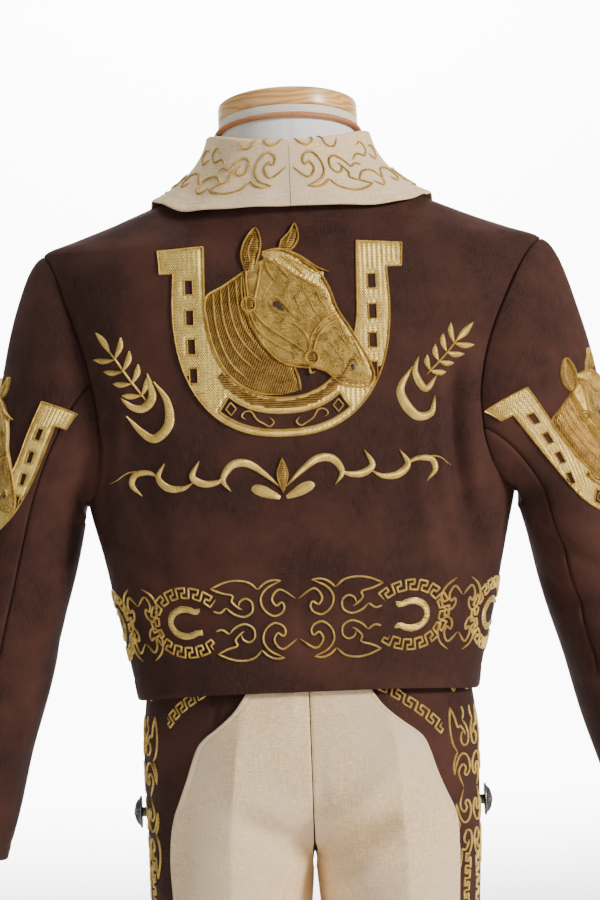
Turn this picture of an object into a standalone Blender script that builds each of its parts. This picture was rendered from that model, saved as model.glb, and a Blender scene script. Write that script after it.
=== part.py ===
"""Child's charro suit (short jacket and trousers) worn by a limbless dress form.

The suit is cut and sewn from flat pieces, so each piece here is a thin wall of cloth with its own
edges. Metres, +Z up. The origin is under the middle of the stand's base; the wearer's back faces -Y
and the wearer's right is +X. Heights in the tables are measured from the shoulder-blade level.
"""
import bpy
import bmesh
import math
from mathutils import Vector

BLADE = 0.840            # height of the shoulder-blade level above the floor
SEAM = 0.00018           # half of the gap between two pieces at a seam
LAY = 0.0006             # gap under a piece that lies on another
JACKET_CLOTH = 0.0020
COLLAR_CLOTH = 0.0016
TROUSER_CLOTH = 0.0015
PATCH_CLOTH = 0.0011
PATCH_GAP = 0.0004       # the patches' edges stay this far from the middle
PATCH_LAY = 0.0016       # gap under the seat patches, which bridge the facets beneath them
JACKET_SLIP = 0.007      # how far the jacket back has slipped round towards the wearer's left

# jacket outside: height, half width, depth behind, depth in front, squareness
JACKET = [
    (-0.166, 0.1145, 0.0840, 0.0830, 2.35),
    (-0.136, 0.1205, 0.0825, 0.0830, 2.35),
    (-0.110, 0.1265, 0.0815, 0.0835, 2.30),
    (-0.080, 0.1330, 0.0810, 0.0845, 2.30),
    (-0.031, 0.1440, 0.0830, 0.0860, 2.30),
    (0.010, 0.1490, 0.0855, 0.0850, 2.30),
    (0.048, 0.1540, 0.0855, 0.0820, 2.30),
    (0.085, 0.1610, 0.0820, 0.0760, 2.30),
    (0.112, 0.1670, 0.0755, 0.0680, 2.20),
    (0.1365, 0.1670, 0.0650, 0.0570, 2.10),
    (0.1455, 0.1450, 0.0610, 0.0530, 2.05),
    (0.153, 0.1250, 0.0585, 0.0505, 2.00),
    (0.160, 0.1075, 0.0565, 0.0490, 2.00),
    (0.168, 0.0880, 0.0550, 0.0480, 2.00),
    (0.176, 0.0720, 0.0540, 0.0475, 2.00),
    (0.184, 0.0610, 0.0530, 0.0470, 2.00),
]
# armhole, seen from behind: height, distance from the middle
ARMHOLE = [
    (0.1365, 0.1670), (0.132, 0.1625), (0.122, 0.1560), (0.105, 0.1490), (0.086, 0.1410),
    (0.067, 0.1345), (0.048, 0.1300), (0.029, 0.1275), (0.010, 0.1275), (-0.007, 0.1300),
    (-0.019, 0.1345), (-0.027, 0.1395), (-0.031, 0.1440),
]
SHOULDER_ROWS = [0.184, 0.176, 0.168, 0.160, 0.153, 0.1455]
SIDE_ROWS = [-0.045, -0.062, -0.085, -0.110, -0.136, -0.158]
HEM_DIP = 0.006          # the jacket hem is this much lower at the sides

# front opening edge: height, distance from the middle
OPENING = [
    (0.184, 0.0500), (0.160, 0.0460), (0.1365, 0.0410), (0.105, 0.0340), (0.067, 0.0265),
    (0.029, 0.0195), (-0.007, 0.0145), (-0.045, 0.0115), (-0.085, 0.0110), (-0.136, 0.0150),
    (-0.166, 0.0220),
]
# sleeve below the armpit: length along the arm, half width, half depth, forward swing
SLEEVE = [
    (0.000, 0.0370, 0.0500, 0.000),
    (0.040, 0.0372, 0.0475, 0.001),
    (0.085, 0.0368, 0.0455, 0.004),
    (0.130, 0.0352, 0.0430, 0.009),
    (0.180, 0.0332, 0.0405, 0.016),
    (0.235, 0.0312, 0.0380, 0.026),
]
ARM_TILT = math.radians(14.5)        # the sleeves hang this far out from the vertical
ARM_TOP = (0.1815, -0.036)           # centre of the sleeve at the armpit: from the middle, height
CAP_STEPS = [0.0, 0.14, 0.34, 0.56, 0.78]

# trousers above the crotch: height, half width, depth behind, depth in front, squareness
HIPS = [
    (-0.070, 0.0985, 0.0650, 0.0650, 2.2),
    (-0.098, 0.0995, 0.0665, 0.0660, 2.2),
    (-0.125, 0.1045, 0.0705, 0.0680, 2.2),
    (-0.155, 0.1090, 0.0755, 0.0705, 2.2),
    (-0.180, 0.1115, 0.0800, 0.0720, 2.2),
    (-0.205, 0.1125, 0.0815, 0.0725, 2.2),
    (-0.235, 0.1120, 0.0810, 0.0725, 2.2),
    (-0.270, 0.1110, 0.0780, 0.0710, 2.2),
]
# trouser legs: height, middle of the leg, half width, depth behind, depth in front
LEG = [
    (-0.180, 0.0560, 0.0555, 0.0800, 0.0720),
    (-0.270, 0.0568, 0.0545, 0.0770, 0.0700),
    (-0.330, 0.0580, 0.0505, 0.0700, 0.0640),
    (-0.400, 0.0595, 0.0465, 0.0620, 0.0580),
    (-0.480, 0.0610, 0.0435, 0.0570, 0.0545),
    (-0.560, 0.0620, 0.0415, 0.0550, 0.0540),
    (-0.650, 0.0630, 0.0400, 0.0555, 0.0550),
    (-0.780, 0.0645, 0.0390, 0.0570, 0.0580),
]
CROTCH = -0.270
FORK = 0.080             # height of the curve of the crotch seam
SPLIT_TOP = -0.185       # between these heights the seat's outline turns into two legs
SPLIT_FOOT = -0.345
LEGS_PART = 0.012        # below the crotch the legs draw apart over this height
LEG_ROWS = [-0.0985, -0.120, -0.150, -0.175, -0.190, -0.208, -0.225, -0.240, -0.252, -0.261,
            -0.267, -0.270, -0.290, -0.330, -0.365, -0.400, -0.440, -0.480, -0.560, -0.670, -0.780]
# seat patch outer edge: height, distance from the middle
PATCH = [
    (-0.158, 0.0400), (-0.163, 0.0430), (-0.1715, 0.0490), (-0.1805, 0.0595), (-0.187, 0.0680),
    (-0.192, 0.0725), (-0.200, 0.0760), (-0.214, 0.0805), (-0.229, 0.0860), (-0.240, 0.0905),
    (-0.252, 0.0935), (-0.270, 0.0950), (-0.300, 0.0930), (-0.340, 0.0860), (-0.390, 0.0740),
    (-0.440, 0.0600), (-0.480, 0.0450),
]

# collar stations from the centre back to the lapel point:
# stand x, y, height; fold x, y, height; edge x, y, height; lie (1 where it lies on the front)
COLLAR = [
    (0.000, -0.0520, 0.185, 0.0000, -0.0560, 0.2050, 0.0000, -0.0640, 0.1610, 0.0),
    (0.014, -0.0508, 0.185, 0.0140, -0.0550, 0.2056, 0.0250, -0.0632, 0.1610, 0.0),
    (0.029, -0.0460, 0.185, 0.0300, -0.0500, 0.2075, 0.0520, -0.0580, 0.1612, 0.0),
    (0.043, -0.0370, 0.185, 0.0430, -0.0390, 0.2100, 0.0730, -0.0480, 0.1625, 0.0),
    (0.0530, -0.0240, 0.185, 0.0505, -0.0235, 0.2120, 0.0870, -0.0310, 0.1675, 0.0),
    (0.0580, -0.0080, 0.185, 0.0530, -0.0060, 0.2125, 0.0930, -0.0085, 0.1710, 0.0),
    (0.0580, 0.0090, 0.185, 0.0530, 0.0110, 0.2105, 0.0960, 0.0150, 0.1685, 0.0),
    (0.0540, 0.0210, 0.185, 0.0500, 0.0280, 0.2040, 0.0980, 0.0395, 0.1560, 0.0),
    (0.0500, 0.0320, 0.182, 0.0465, 0.0440, 0.1900, 0.0985, 0.0525, 0.1400, 0.3),
    (0.0450, 0.0500, 0.158, 0.0430, 0.0550, 0.1660, 0.0955, 0.0610, 0.1175, 0.8),
    (0.0400, 0.0570, 0.132, 0.0380, 0.0610, 0.1340, 0.0900, 0.0680, 0.0890, 1.0),
    (0.0345, 0.0680, 0.100, 0.0325, 0.0720, 0.1010, 0.0790, 0.0750, 0.0600, 1.0),
    (0.0275, 0.0760, 0.064, 0.0255, 0.0800, 0.0640, 0.0655, 0.0810, 0.0300, 1.0),
    (0.0215, 0.0820, 0.030, 0.0195, 0.0850, 0.0300, 0.0500, 0.0850, 0.0020, 1.0),
    (0.0165, 0.0850, -0.002, 0.0145, 0.0880, -0.0020, 0.0330, 0.0870, -0.0230, 1.0),
    (0.0135, 0.0860, -0.030, 0.0115, 0.0890, -0.0300, 0.0180, 0.0880, -0.0400, 1.0),
]
FOLD_ROUND = 0.0026      # radius of the collar's rolled fold
STAND_PART = 0.22        # shares of the collar's section: up to here its stand, then its fold,
FALL_PART = 0.40         # and from here its fall
FALL_KNEE = (0.18, 0.30, 0.62)       # how the fall bows between its fold and its edge

# dress form body: height, middle y, half width, depth, squareness
FORM = [
    (-0.238, 0.000, 0.0700, 0.0400, 2.2),
    (-0.236, 0.000, 0.0850, 0.0500, 2.2),
    (-0.222, -0.002, 0.0990, 0.0640, 2.2),
    (-0.190, -0.003, 0.1040, 0.0690, 2.2),
    (-0.150, -0.001, 0.1020, 0.0650, 2.2),
    (-0.110, 0.000, 0.0960, 0.0610, 2.2),
    (-0.080, 0.001, 0.0930, 0.0590, 2.2),
    (-0.040, 0.001, 0.1060, 0.0640, 2.2),
    (0.010, 0.000, 0.1200, 0.0700, 2.2),
    (0.060, -0.002, 0.1330, 0.0690, 2.2),
    (0.100, -0.004, 0.1400, 0.0600, 2.2),
    (0.122, -0.004, 0.1340, 0.0520, 2.1),
    (0.136, -0.003, 0.1120, 0.0475, 2.0),
    (0.148, -0.002, 0.0850, 0.0450, 2.0),
    (0.160, 0.000, 0.0640, 0.0440, 2.0),
    (0.174, 0.002, 0.0520, 0.0435, 2.0),
]
NECK_RADIUS = 0.0455
NECK_TOP = 0.2205        # height of the middle of the neck's top
NECK_LEAN = math.radians(12.0)
NECK_FORWARD = 0.004
CAP_HEIGHT = 0.0125
BAND_HEIGHT = 0.0060
CORD_RADIUS = 0.0017

BASE_RADIUS = 0.150
BASE_HEIGHT = 0.008
ROD_RADIUS = 0.0080
ROD_X = -0.0600          # the stand's rod runs down the wearer's left leg
SOCKET_RADIUS = 0.020
SOCKET_HEIGHT = 0.032

STUD_ROWS = [-0.240, -0.330, -0.420, -0.510, -0.600, -0.690]
STUD_RADIUS = 0.0110
STUD_HEIGHT = 0.0085

for old in list(bpy.data.objects):
    bpy.data.objects.remove(old)


def material(name, colour, roughness, metallic=0.0):
    made = bpy.data.materials.new(name)
    made.use_nodes = True
    shader = made.node_tree.nodes["Principled BSDF"]
    shader.inputs["Base Color"].default_value = (*colour, 1.0)
    shader.inputs["Roughness"].default_value = roughness
    shader.inputs["Metallic"].default_value = metallic
    made.diffuse_color = (*colour, 1.0)
    return made


BROWN = material("brown_suiting", (0.078, 0.031, 0.023), 0.85)
CREAM = material("cream_linen", (0.70, 0.58, 0.44), 0.90)
WHITE = material("form_cover", (0.80, 0.78, 0.77), 0.80)
WOOD = material("pale_wood", (0.74, 0.47, 0.20), 0.45)
TAN = material("tan_cord", (0.42, 0.15, 0.04), 0.60)
IVORY = material("ivory_band", (0.78, 0.74, 0.60), 0.60)
STEEL = material("brushed_steel", (0.55, 0.55, 0.56), 0.35, 1.0)
SILVER = material("dark_silver", (0.25, 0.23, 0.21), 0.40, 1.0)
HORN = material("horn_button", (0.06, 0.03, 0.02), 0.35)


def along(table, height, column):
    """Value of a table's column at a height, on a smooth curve that never overshoots its rows."""
    rows = sorted((row[0], row[column]) for row in table)
    height = min(max(height, rows[0][0]), rows[-1][0])
    place = 0
    while place < len(rows) - 2 and rows[place + 1][0] < height:
        place += 1

    def slope(index):
        if index <= 0 or index >= len(rows) - 1:
            return None
        before = (rows[index][1] - rows[index - 1][1]) / (rows[index][0] - rows[index - 1][0])
        after = (rows[index + 1][1] - rows[index][1]) / (rows[index + 1][0] - rows[index][0])
        if before * after <= 0:
            return 0.0
        return 2 * before * after / (before + after)

    (low, first), (high, last) = rows[place], rows[place + 1]
    step = high - low
    straight = (last - first) / step
    start = slope(place)
    end = slope(place + 1)
    start = straight if start is None else start
    end = straight if end is None else end
    part = (height - low) / step
    return ((1 + 2 * part) * (1 - part) ** 2 * first + part * (1 - part) ** 2 * step * start
            + part ** 2 * (3 - 2 * part) * last + part ** 2 * (part - 1) * step * end)


def power(value, exponent):
    return math.copysign(abs(value) ** exponent, value)


def level(point):
    return Vector((point[0], point[1], point[2] + BLADE))


def jacket_point(height, angle):
    """Jacket outside: angle 0 on the wearer's right side, a quarter turn at the centre back."""
    width = along(JACKET, height, 1)
    behind = math.sin(angle) >= 0
    depth = along(JACKET, height, 2 if behind else 3)
    bend = 2 / along(JACKET, height, 4)
    return Vector((width * power(math.cos(angle), bend), -depth * power(math.sin(angle), bend), height))


def jacket_angle(height, across):
    """The angle, behind, at which the jacket's outside is this far from the middle."""
    share = min(max(across / along(JACKET, height, 1), -1.0), 1.0)
    return math.acos(power(share, along(JACKET, height, 4) / 2))


def outward(surface, row, column, centre, step=2e-4):
    """Normal of a surface at a place, pointing away from a centre."""
    down = surface(row + step, column) - surface(row - step, column)
    over = surface(row, column + step) - surface(row, column - step)
    normal = down.cross(over).normalized()
    return normal if normal.dot(surface(row, column) - centre) > 0 else -normal


def wall(name, outer, normals, thick, finish, parent=None):
    """Closed wall of cloth: the outer grid of points, and the same grid moved in by the thickness."""
    mesh = bmesh.new()
    top = [[mesh.verts.new(level(point)) for point in row] for row in outer]
    low = [[mesh.verts.new(level(point - normal * thick)) for point, normal in zip(row, normal_row)]
           for row, normal_row in zip(outer, normals)]
    rows = len(outer)
    columns = len(outer[0])
    for r in range(rows - 1):
        for c in range(columns - 1):
            # both skins are split along the same diagonal, so the cloth keeps its thickness in a twisted place
            across = (top[r][c].co - top[r + 1][c + 1].co).length
            along_it = (top[r][c + 1].co - top[r + 1][c].co).length
            for skin in (top, low):
                ring = [skin[r][c], skin[r][c + 1], skin[r + 1][c + 1], skin[r + 1][c]]
                if across > along_it:
                    ring = ring[1:] + ring[:1]
                for triangle in ((ring[0], ring[1], ring[2]), (ring[0], ring[2], ring[3])):
                    mesh.faces.new(triangle)
    for r in range(rows - 1):
        for c in (0, columns - 1):
            mesh.faces.new((top[r][c], top[r + 1][c], low[r + 1][c], low[r][c]))
    for c in range(columns - 1):
        for r in (0, rows - 1):
            mesh.faces.new((top[r][c], low[r][c], low[r][c + 1], top[r][c + 1]))
    bmesh.ops.recalc_face_normals(mesh, faces=mesh.faces)
    return finished(name, mesh, finish, parent)


def finished(name, mesh, finish, parent=None, sharp=50):
    data = bpy.data.meshes.new(name)
    mesh.to_mesh(data)
    mesh.free()
    data.materials.append(finish)
    data.shade_smooth()
    data.set_sharp_from_angle(angle=math.radians(sharp))
    piece = bpy.data.objects.new(name, data)
    bpy.context.scene.collection.objects.link(piece)
    piece.parent = parent
    return piece


def spread(start, end, count):
    return [start + (end - start) * index / (count - 1) for index in range(count)]


suit = bpy.data.objects.new("suit", None)
stand = bpy.data.objects.new("stand", None)
for group in (suit, stand):
    bpy.context.scene.collection.objects.link(group)


# ---- jacket body: one back, two fronts, joined at the side and shoulder seams ----

def slip(height):
    """The back has slipped round by this much; nothing at the shoulder point and the underarm."""
    top, bottom = ARMHOLE[0][0], ARMHOLE[-1][0]
    share = min(max((height - bottom) / (top - bottom), 0.0), 1.0)
    return JACKET_SLIP * math.sin(math.pi * share) ** 0.7


def armhole_point(side, behind, index, inset):
    """A point of the armhole edge, moved by inset away from the middle of the panel's edge."""
    height, across = ARMHOLE[index]
    if behind:
        across -= side * slip(height)
    before = ARMHOLE[max(index - 1, 0)]
    after = ARMHOLE[min(index + 1, len(ARMHOLE) - 1)]
    run = Vector((after[1] - before[1], after[0] - before[0])).normalized()
    out = Vector((-run.y, run.x))
    across += out.x * inset
    height += out.y * inset
    angle = max(jacket_angle(height, across), 0.004)
    if not behind:
        angle = -angle
    return height, (angle if side > 0 else math.pi - angle)


def seam_angle(height, depth_column):
    bend = along(JACKET, height, 4) / 2
    return (SEAM / along(JACKET, height, depth_column)) ** bend


def panel_rows():
    """Rows of a body panel from the neck to the hem: height, and the armhole row or None."""
    rows = [(height, None) for height in SHOULDER_ROWS]
    rows += [(height, index) for index, (height, across) in enumerate(ARMHOLE)]
    rows += [(height, None) for height in SIDE_ROWS]
    return rows


def edge_angle(side, behind, height, index):
    """Angle of the panel's outer edge in a row: armhole where there is one, else the seam."""
    if index is None or index in (0, len(ARMHOLE) - 1):
        angle = seam_angle(height, 2 if behind else 3)
        if not behind:
            angle = -angle
        return height, (angle if side > 0 else math.pi - angle)
    return armhole_point(side, behind, index, -SEAM)


def hem_height(height, angle):
    """Near the hem the rows dip towards the side seams."""
    reach = min(max((SIDE_ROWS[0] - height) / (SIDE_ROWS[0] - SIDE_ROWS[-1]), 0.0), 1.0)
    return height - HEM_DIP * reach * abs(math.cos(angle)) ** 3


def body_panel(name, behind, start_side, end_side, columns):
    """A back runs from side to side; a front from its side to its opening edge."""
    outer = []
    normals = []
    for height, index in panel_rows():
        first_height, first = edge_angle(start_side, behind, height, index)
        if behind:
            last_height, last = edge_angle(end_side, behind, height, index)
        else:
            across = along(OPENING, height, 1)
            last_height = height
            share = across / along(JACKET, height, 1)
            last = -math.acos(power(share, along(JACKET, height, 4) / 2))
            if start_side < 0:
                first -= 2 * math.pi
                last = -math.pi - last
        row = []
        row_normals = []
        for column in range(columns):
            part = column / (columns - 1)
            angle = first + (last - first) * part
            lift = first_height + (last_height - first_height) * part
            lift = hem_height(lift, angle)
            row.append(jacket_point(lift, angle))
            row_normals.append(outward(jacket_point, lift, angle, Vector((0, 0, lift - 0.02))))
        outer.append(row)
        normals.append(row_normals)
    return wall(name, outer, normals, JACKET_CLOTH, BROWN, suit)


RIGHT, LEFT = 1, -1
body_panel("jacket_back", True, RIGHT, LEFT, 15)
body_panel("jacket_front_right", False, RIGHT, RIGHT, 8)
body_panel("jacket_front_left", False, LEFT, LEFT, 8)


# ---- sleeves: an upper and an under piece, set into the armhole ----

def armhole_ring(side):
    """Armhole points all round: down the back from the shoulder, up the front to it."""
    last = len(ARMHOLE) - 1
    ring = [(True, index) for index in range(last + 1)] + [(False, index) for index in range(last - 1, 0, -1)]
    points = []
    for behind, index in ring:
        height, angle = armhole_point(side, behind, index, 2.2 * SEAM)
        point = jacket_point(height, angle)
        if index in (0, last):
            point.y = 0.0
        centre = Vector((0, 0, height - 0.02))
        points.append(point + outward(jacket_point, height, angle, centre) * 1.2 * LAY)
    points[last].z += SEAM
    return points


def ring_angles(points):
    """Angle round the arm for each armhole point: half a turn behind, half in front, by length."""
    half = len(ARMHOLE) - 1
    lengths = [0.0]
    closed = points + points[:1]
    for before, after in zip(closed, closed[1:]):
        lengths.append(lengths[-1] + (after - before).length)
    angles = []
    for index in range(len(points)):
        if index <= half:
            angles.append(math.pi * lengths[index] / lengths[half])
        else:
            rest = (lengths[index] - lengths[half]) / (lengths[-1] - lengths[half])
            angles.append(math.pi * (1 + rest))
    return angles


def arm_point(side, length, angle):
    """Sleeve outside below the armpit; angle 0 on the outer side, a quarter turn behind."""
    inside = max(length, 0.0)
    middle_x = ARM_TOP[0] + math.sin(ARM_TILT) * length
    middle_z = ARM_TOP[1] - math.cos(ARM_TILT) * length
    out = along(SLEEVE, inside, 1) * math.cos(angle)
    deep = along(SLEEVE, inside, 2) * math.sin(angle)
    return Vector((side * (middle_x + out * math.cos(ARM_TILT)),
                   along(SLEEVE, inside, 3) - deep,
                   middle_z + out * math.sin(ARM_TILT)))


def cap_point(side, start, angle, part):
    """Sleeve head: a curve from the armhole, leaving it outwards, to the ring at the armpit."""
    end = arm_point(side, 0.0, angle)
    chord = (end - start).length
    turn = math.cos(angle)
    leave = Vector((side * (0.5 - 0.275 * turn + 0.125 * turn * turn),
                    -0.22 * math.sin(angle),
                    -0.40 + 0.02 * turn + 0.32 * turn * turn)) * chord
    arrive = Vector((side * math.sin(ARM_TILT), 0, -math.cos(ARM_TILT))) * chord * 1.05
    return (start * (2 * part ** 3 - 3 * part ** 2 + 1) + leave * (part ** 3 - 2 * part ** 2 + part)
            + end * (3 * part ** 2 - 2 * part ** 3) + arrive * (part ** 3 - part ** 2))


ARM_STEPS = [0.0, 0.028, 0.062, 0.100, 0.143, 0.190, 0.235]


def sleeve_piece(name, side, indices, starts, angles):
    """One sleeve piece: a grid of rings down the arm and of the armhole points that it takes."""
    count = len(angles)
    grid = []
    for part in CAP_STEPS:
        grid.append([cap_point(side, starts[i % count], angles[i % count], part) for i in indices])
    for length in ARM_STEPS:
        grid.append([arm_point(side, length, angles[i % count]) for i in indices])
    columns = len(indices)
    for row in grid:
        for place, beside in ((0, 1), (columns - 1, columns - 2)):
            row[place] = row[place] + (row[beside] - row[place]).normalized() * SEAM
    full = []
    for part in CAP_STEPS:
        full.append([cap_point(side, starts[i], angles[i], part) for i in range(count)])
    for length in ARM_STEPS:
        full.append([arm_point(side, length, angles[i]) for i in range(count)])
    normals = []
    for r, row in enumerate(full):
        middle = sum(row, Vector()) / count
        above = full[max(r - 1, 0)]
        below = full[min(r + 1, len(full) - 1)]
        row_normals = []
        for i in indices:
            k = i % count
            across = row[(k + 1) % count] - row[(k - 1) % count]
            normal = (below[k] - above[k]).cross(across).normalized()
            row_normals.append(normal if normal.dot(row[k] - middle) > 0 else -normal)
        normals.append(row_normals)
    return wall(name, grid, normals, JACKET_CLOTH, BROWN, suit)


FRONT_SEAM_ROW = 7       # the front seam of each sleeve meets the armhole at this row
for side, word, back_row in ((RIGHT, "right", 8), (LEFT, "left", 6)):
    starts = armhole_ring(side)
    angles = ring_angles(starts)
    whole = len(starts)
    sleeve_piece("sleeve_upper_" + word, side, list(range(-FRONT_SEAM_ROW, back_row + 1)), starts, angles)
    sleeve_piece("sleeve_under_" + word, side, list(range(back_row, whole - FRONT_SEAM_ROW + 1)), starts, angles)


# ---- collar: two halves, joined at the centre back, that roll over and run down as lapels ----

def front_depth(across, height):
    """How far forward the jacket front's outside is at a place."""
    share = min(across / along(JACKET, height, 1), 1.0)
    return jacket_point(height, -math.acos(power(share, along(JACKET, height, 4) / 2))).y


def collar_point(side, station, along_edge):
    """Collar section: up the stand, over the fold and down the fall, 0 to 1."""
    row = min(max(station, 0.0), len(COLLAR) - 1.0)
    first = min(int(row), len(COLLAR) - 2)
    part = row - first
    before, after = COLLAR[max(first - 1, 0)], COLLAR[min(first + 2, len(COLLAR) - 1)]
    here, there = COLLAR[first], COLLAR[first + 1]

    def blend(column):
        a, b, c, d = before[column], here[column], there[column], after[column]
        return 0.5 * (2 * b + (c - a) * part + (2 * a - 5 * b + 4 * c - d) * part ** 2
                      + (3 * b - a - 3 * c + d) * part ** 3)

    foot = Vector((blend(0), blend(1), blend(2)))
    fold = Vector((blend(3), blend(4), blend(5)))
    edge = Vector((blend(6), blend(7), blend(8)))
    lie = min(max(blend(9), 0.0), 1.0)
    rest = front_depth(foot.x, foot.z) + 2 * LAY
    foot.y += (rest - foot.y) * lie
    fold.y += (rest + COLLAR_CLOTH + FOLD_ROUND - fold.y) * lie
    away = Vector((edge.x - foot.x, edge.y - foot.y, 0)) * (1 - lie)
    away += Vector((edge.x - fold.x, 0, 0)) * lie
    if away.length < 1e-6:
        away = Vector((0, -1, 0))
    away = away.normalized()
    up = Vector((0, lie, 1 - lie)).normalized()
    if along_edge <= STAND_PART:
        share = along_edge / STAND_PART
        point = foot.lerp(fold - away * FOLD_ROUND - up * FOLD_ROUND, share)
    elif along_edge < FALL_PART:
        turn = math.pi * (along_edge - STAND_PART) / (FALL_PART - STAND_PART)
        centre = fold - up * FOLD_ROUND
        point = centre - away * FOLD_ROUND * math.cos(turn) + up * FOLD_ROUND * math.sin(turn)
    else:
        share = (along_edge - FALL_PART) / (1 - FALL_PART)
        begin = fold - up * FOLD_ROUND + away * FOLD_ROUND
        knee = Vector([near + (far - near) * bow for near, far, bow in zip(begin, edge, FALL_KNEE)])
        fall = begin * (1 - share) ** 2 + knee * 2 * share * (1 - share) + edge * share ** 2
        flat = begin.lerp(edge, share)
        if lie > 0:
            flat.y = front_depth(flat.x, flat.z) + COLLAR_CLOTH + 2 * LAY
        point = fall.lerp(flat, lie)
    return Vector((side * max(point.x, SEAM), point.y, point.z))


COLLAR_PARTS = [0.0, STAND_PART, 0.27, 0.31, 0.35, FALL_PART, 0.55, 0.70, 0.85, 1.0]
for side, word in ((RIGHT, "right"), (LEFT, "left")):
    stations = range(len(COLLAR))
    outer = [[collar_point(side, station, part) for part in COLLAR_PARTS] for station in stations]
    normals = []
    for station in stations:
        row_normals = []
        for part in COLLAR_PARTS:
            step = 0.02
            low_part, high_part = max(part - step, 0.0), min(part + step, 1.0)
            low_row, high_row = max(station - step, 0.0), min(station + step, len(COLLAR) - 1.0)
            over = collar_point(side, station, high_part) - collar_point(side, station, low_part)
            run = collar_point(side, high_row, part) - collar_point(side, low_row, part)
            normal = over.cross(run) * side
            if station == 0:
                normal.x = 0.0
            row_normals.append(normal.normalized())
        normals.append(row_normals)
    wall("collar_" + word, outer, normals, COLLAR_CLOTH, CREAM, suit)


# ---- trousers: two backs and two fronts, then what is sewn on them ----

def trouser_point(side, behind, height, part):
    """Trouser outside: part 0 at the side seam, 1 at the centre seam or, lower down, the inseam."""
    turn = -1 if behind else 1
    column = 2 if behind else 3
    rise = min(max((height - CROTCH) / FORK, 0.0), 1.0)
    parting = math.sqrt(max(1 - (1 - rise) ** 2, 0.0))
    bend = 2 / along(HIPS, height, 4)
    quarter = part * math.pi / 2
    hip_x = along(HIPS, height, 1) * power(math.cos(quarter), bend)
    hip_y = along(HIPS, height, column) * power(math.sin(quarter), bend)
    half = part * math.pi
    leg_x = along(LEG, height, 1) + along(LEG, height, 2) * math.cos(half)
    leg_y = along(LEG, height, column + 1) * math.sin(half)
    gradual = min(max((height - SPLIT_FOOT) / (SPLIT_TOP - SPLIT_FOOT), 0.0), 1.0)
    gradual = gradual * gradual * (3 - 2 * gradual)
    inner = part ** 4
    whole = gradual * (1 - inner) + parting * inner
    joined = min(max((height - CROTCH) / LEGS_PART + 1, 0.0), 1.0)
    gap = along(LEG, height, 1) - along(LEG, height, 2)
    x = hip_x * whole + leg_x * (1 - whole) - gap * (1 - parting) * joined * part ** 6
    y = hip_y * whole + leg_y * (1 - whole)
    return Vector((side * (SEAM + max(x, 0.0)), turn * (SEAM + abs(y)), height))


def trouser_normal(side, behind, height, part, step=1e-3):
    facing = side if behind else -side
    low, high = max(part - step, 1e-4), min(part + step, 1 - 1e-4)
    over = trouser_point(side, behind, height, high) - trouser_point(side, behind, height, low)
    run = trouser_point(side, behind, height + step, part) - trouser_point(side, behind, height - step, part)
    return over.cross(run).normalized() * -facing


TROUSER_PARTS = spread(0.0, 1.0, 9)


def trouser_wall(name, side, behind, rows, parts_of, raise_by, thick, finish):
    outer = []
    normals = []
    for height in rows:
        row = []
        row_normals = []
        for part in parts_of(height):
            normal = trouser_normal(side, behind, height, part)
            row.append(trouser_point(side, behind, height, part) + normal * raise_by)
            row_normals.append(normal)
        outer.append(row)
        normals.append(row_normals)
    return wall(name, outer, normals, thick, finish, suit)


def part_at(side, behind, height, across):
    """Where, round the panel, its outside is this far from the middle."""
    low, high = 0.0, 1.0
    for _ in range(30):
        middle = (low + high) / 2
        if abs(trouser_point(side, behind, height, middle).x) > across:
            low = middle
        else:
            high = middle
    return (low + high) / 2


PATCH_NEAREST = 0.9985   # a patch reaches this far round its panel where nothing stops it,
PATCH_FURTHEST = 0.9     # draws back no further than this, and is moved by this step
PATCH_STEP = 0.0015


def patch_end(side, height):
    """Where a seat patch stops: close to the other patch, or at the other leg."""
    part = PATCH_NEAREST
    while part > PATCH_FURTHEST:
        normal = trouser_normal(side, True, height, part)
        place = trouser_point(side, True, height, part) + normal * (PATCH_LAY + PATCH_CLOTH)
        if side * place.x > PATCH_GAP:
            break
        part -= PATCH_STEP
    return part


PATCH_ROWS = [-0.158, -0.167, -0.177, -0.187, -0.197, -0.210, -0.225, -0.240, -0.252, -0.261, -0.267,
              -0.270, -0.290, -0.330, -0.365, -0.400, -0.440, -0.480]
for side, word in ((RIGHT, "right"), (LEFT, "left")):
    trouser_wall("trouser_back_" + word, side, True, LEG_ROWS, lambda height: TROUSER_PARTS,
                 0.0, TROUSER_CLOTH, BROWN)
    trouser_wall("trouser_front_" + word, side, False, LEG_ROWS, lambda height: TROUSER_PARTS,
                 0.0, TROUSER_CLOTH, BROWN)

    def patch_parts(height, side=side):
        return spread(part_at(side, True, height, along(PATCH, height, 1)), patch_end(side, height), 8)

    trouser_wall("seat_patch_" + word, side, True, PATCH_ROWS, patch_parts,
                 PATCH_LAY + PATCH_CLOTH, PATCH_CLOTH, CREAM)

FLY_ROWS = [-0.100, -0.125, -0.150, -0.175, -0.195]


def fly_parts(height):
    low = -0.195
    width = 0.030 - 0.020 * max(0.0, (-0.150 - height) / (-0.150 - low)) ** 2
    return spread(part_at(LEFT, False, height, width), 0.993, 4)


trouser_wall("fly_flap", LEFT, False, FLY_ROWS, fly_parts, LAY + PATCH_CLOTH, PATCH_CLOTH, BROWN)

WAIST_TOP, WAIST_FOOT = -0.070, -0.0975


def hip_point(height, angle):
    width = along(HIPS, height, 1) + SEAM
    depth = along(HIPS, height, 2 if math.sin(angle) >= 0 else 3)
    bend = 2 / along(HIPS, height, 4)
    return Vector((width * power(math.cos(angle), bend), -depth * power(math.sin(angle), bend), height))


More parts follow.
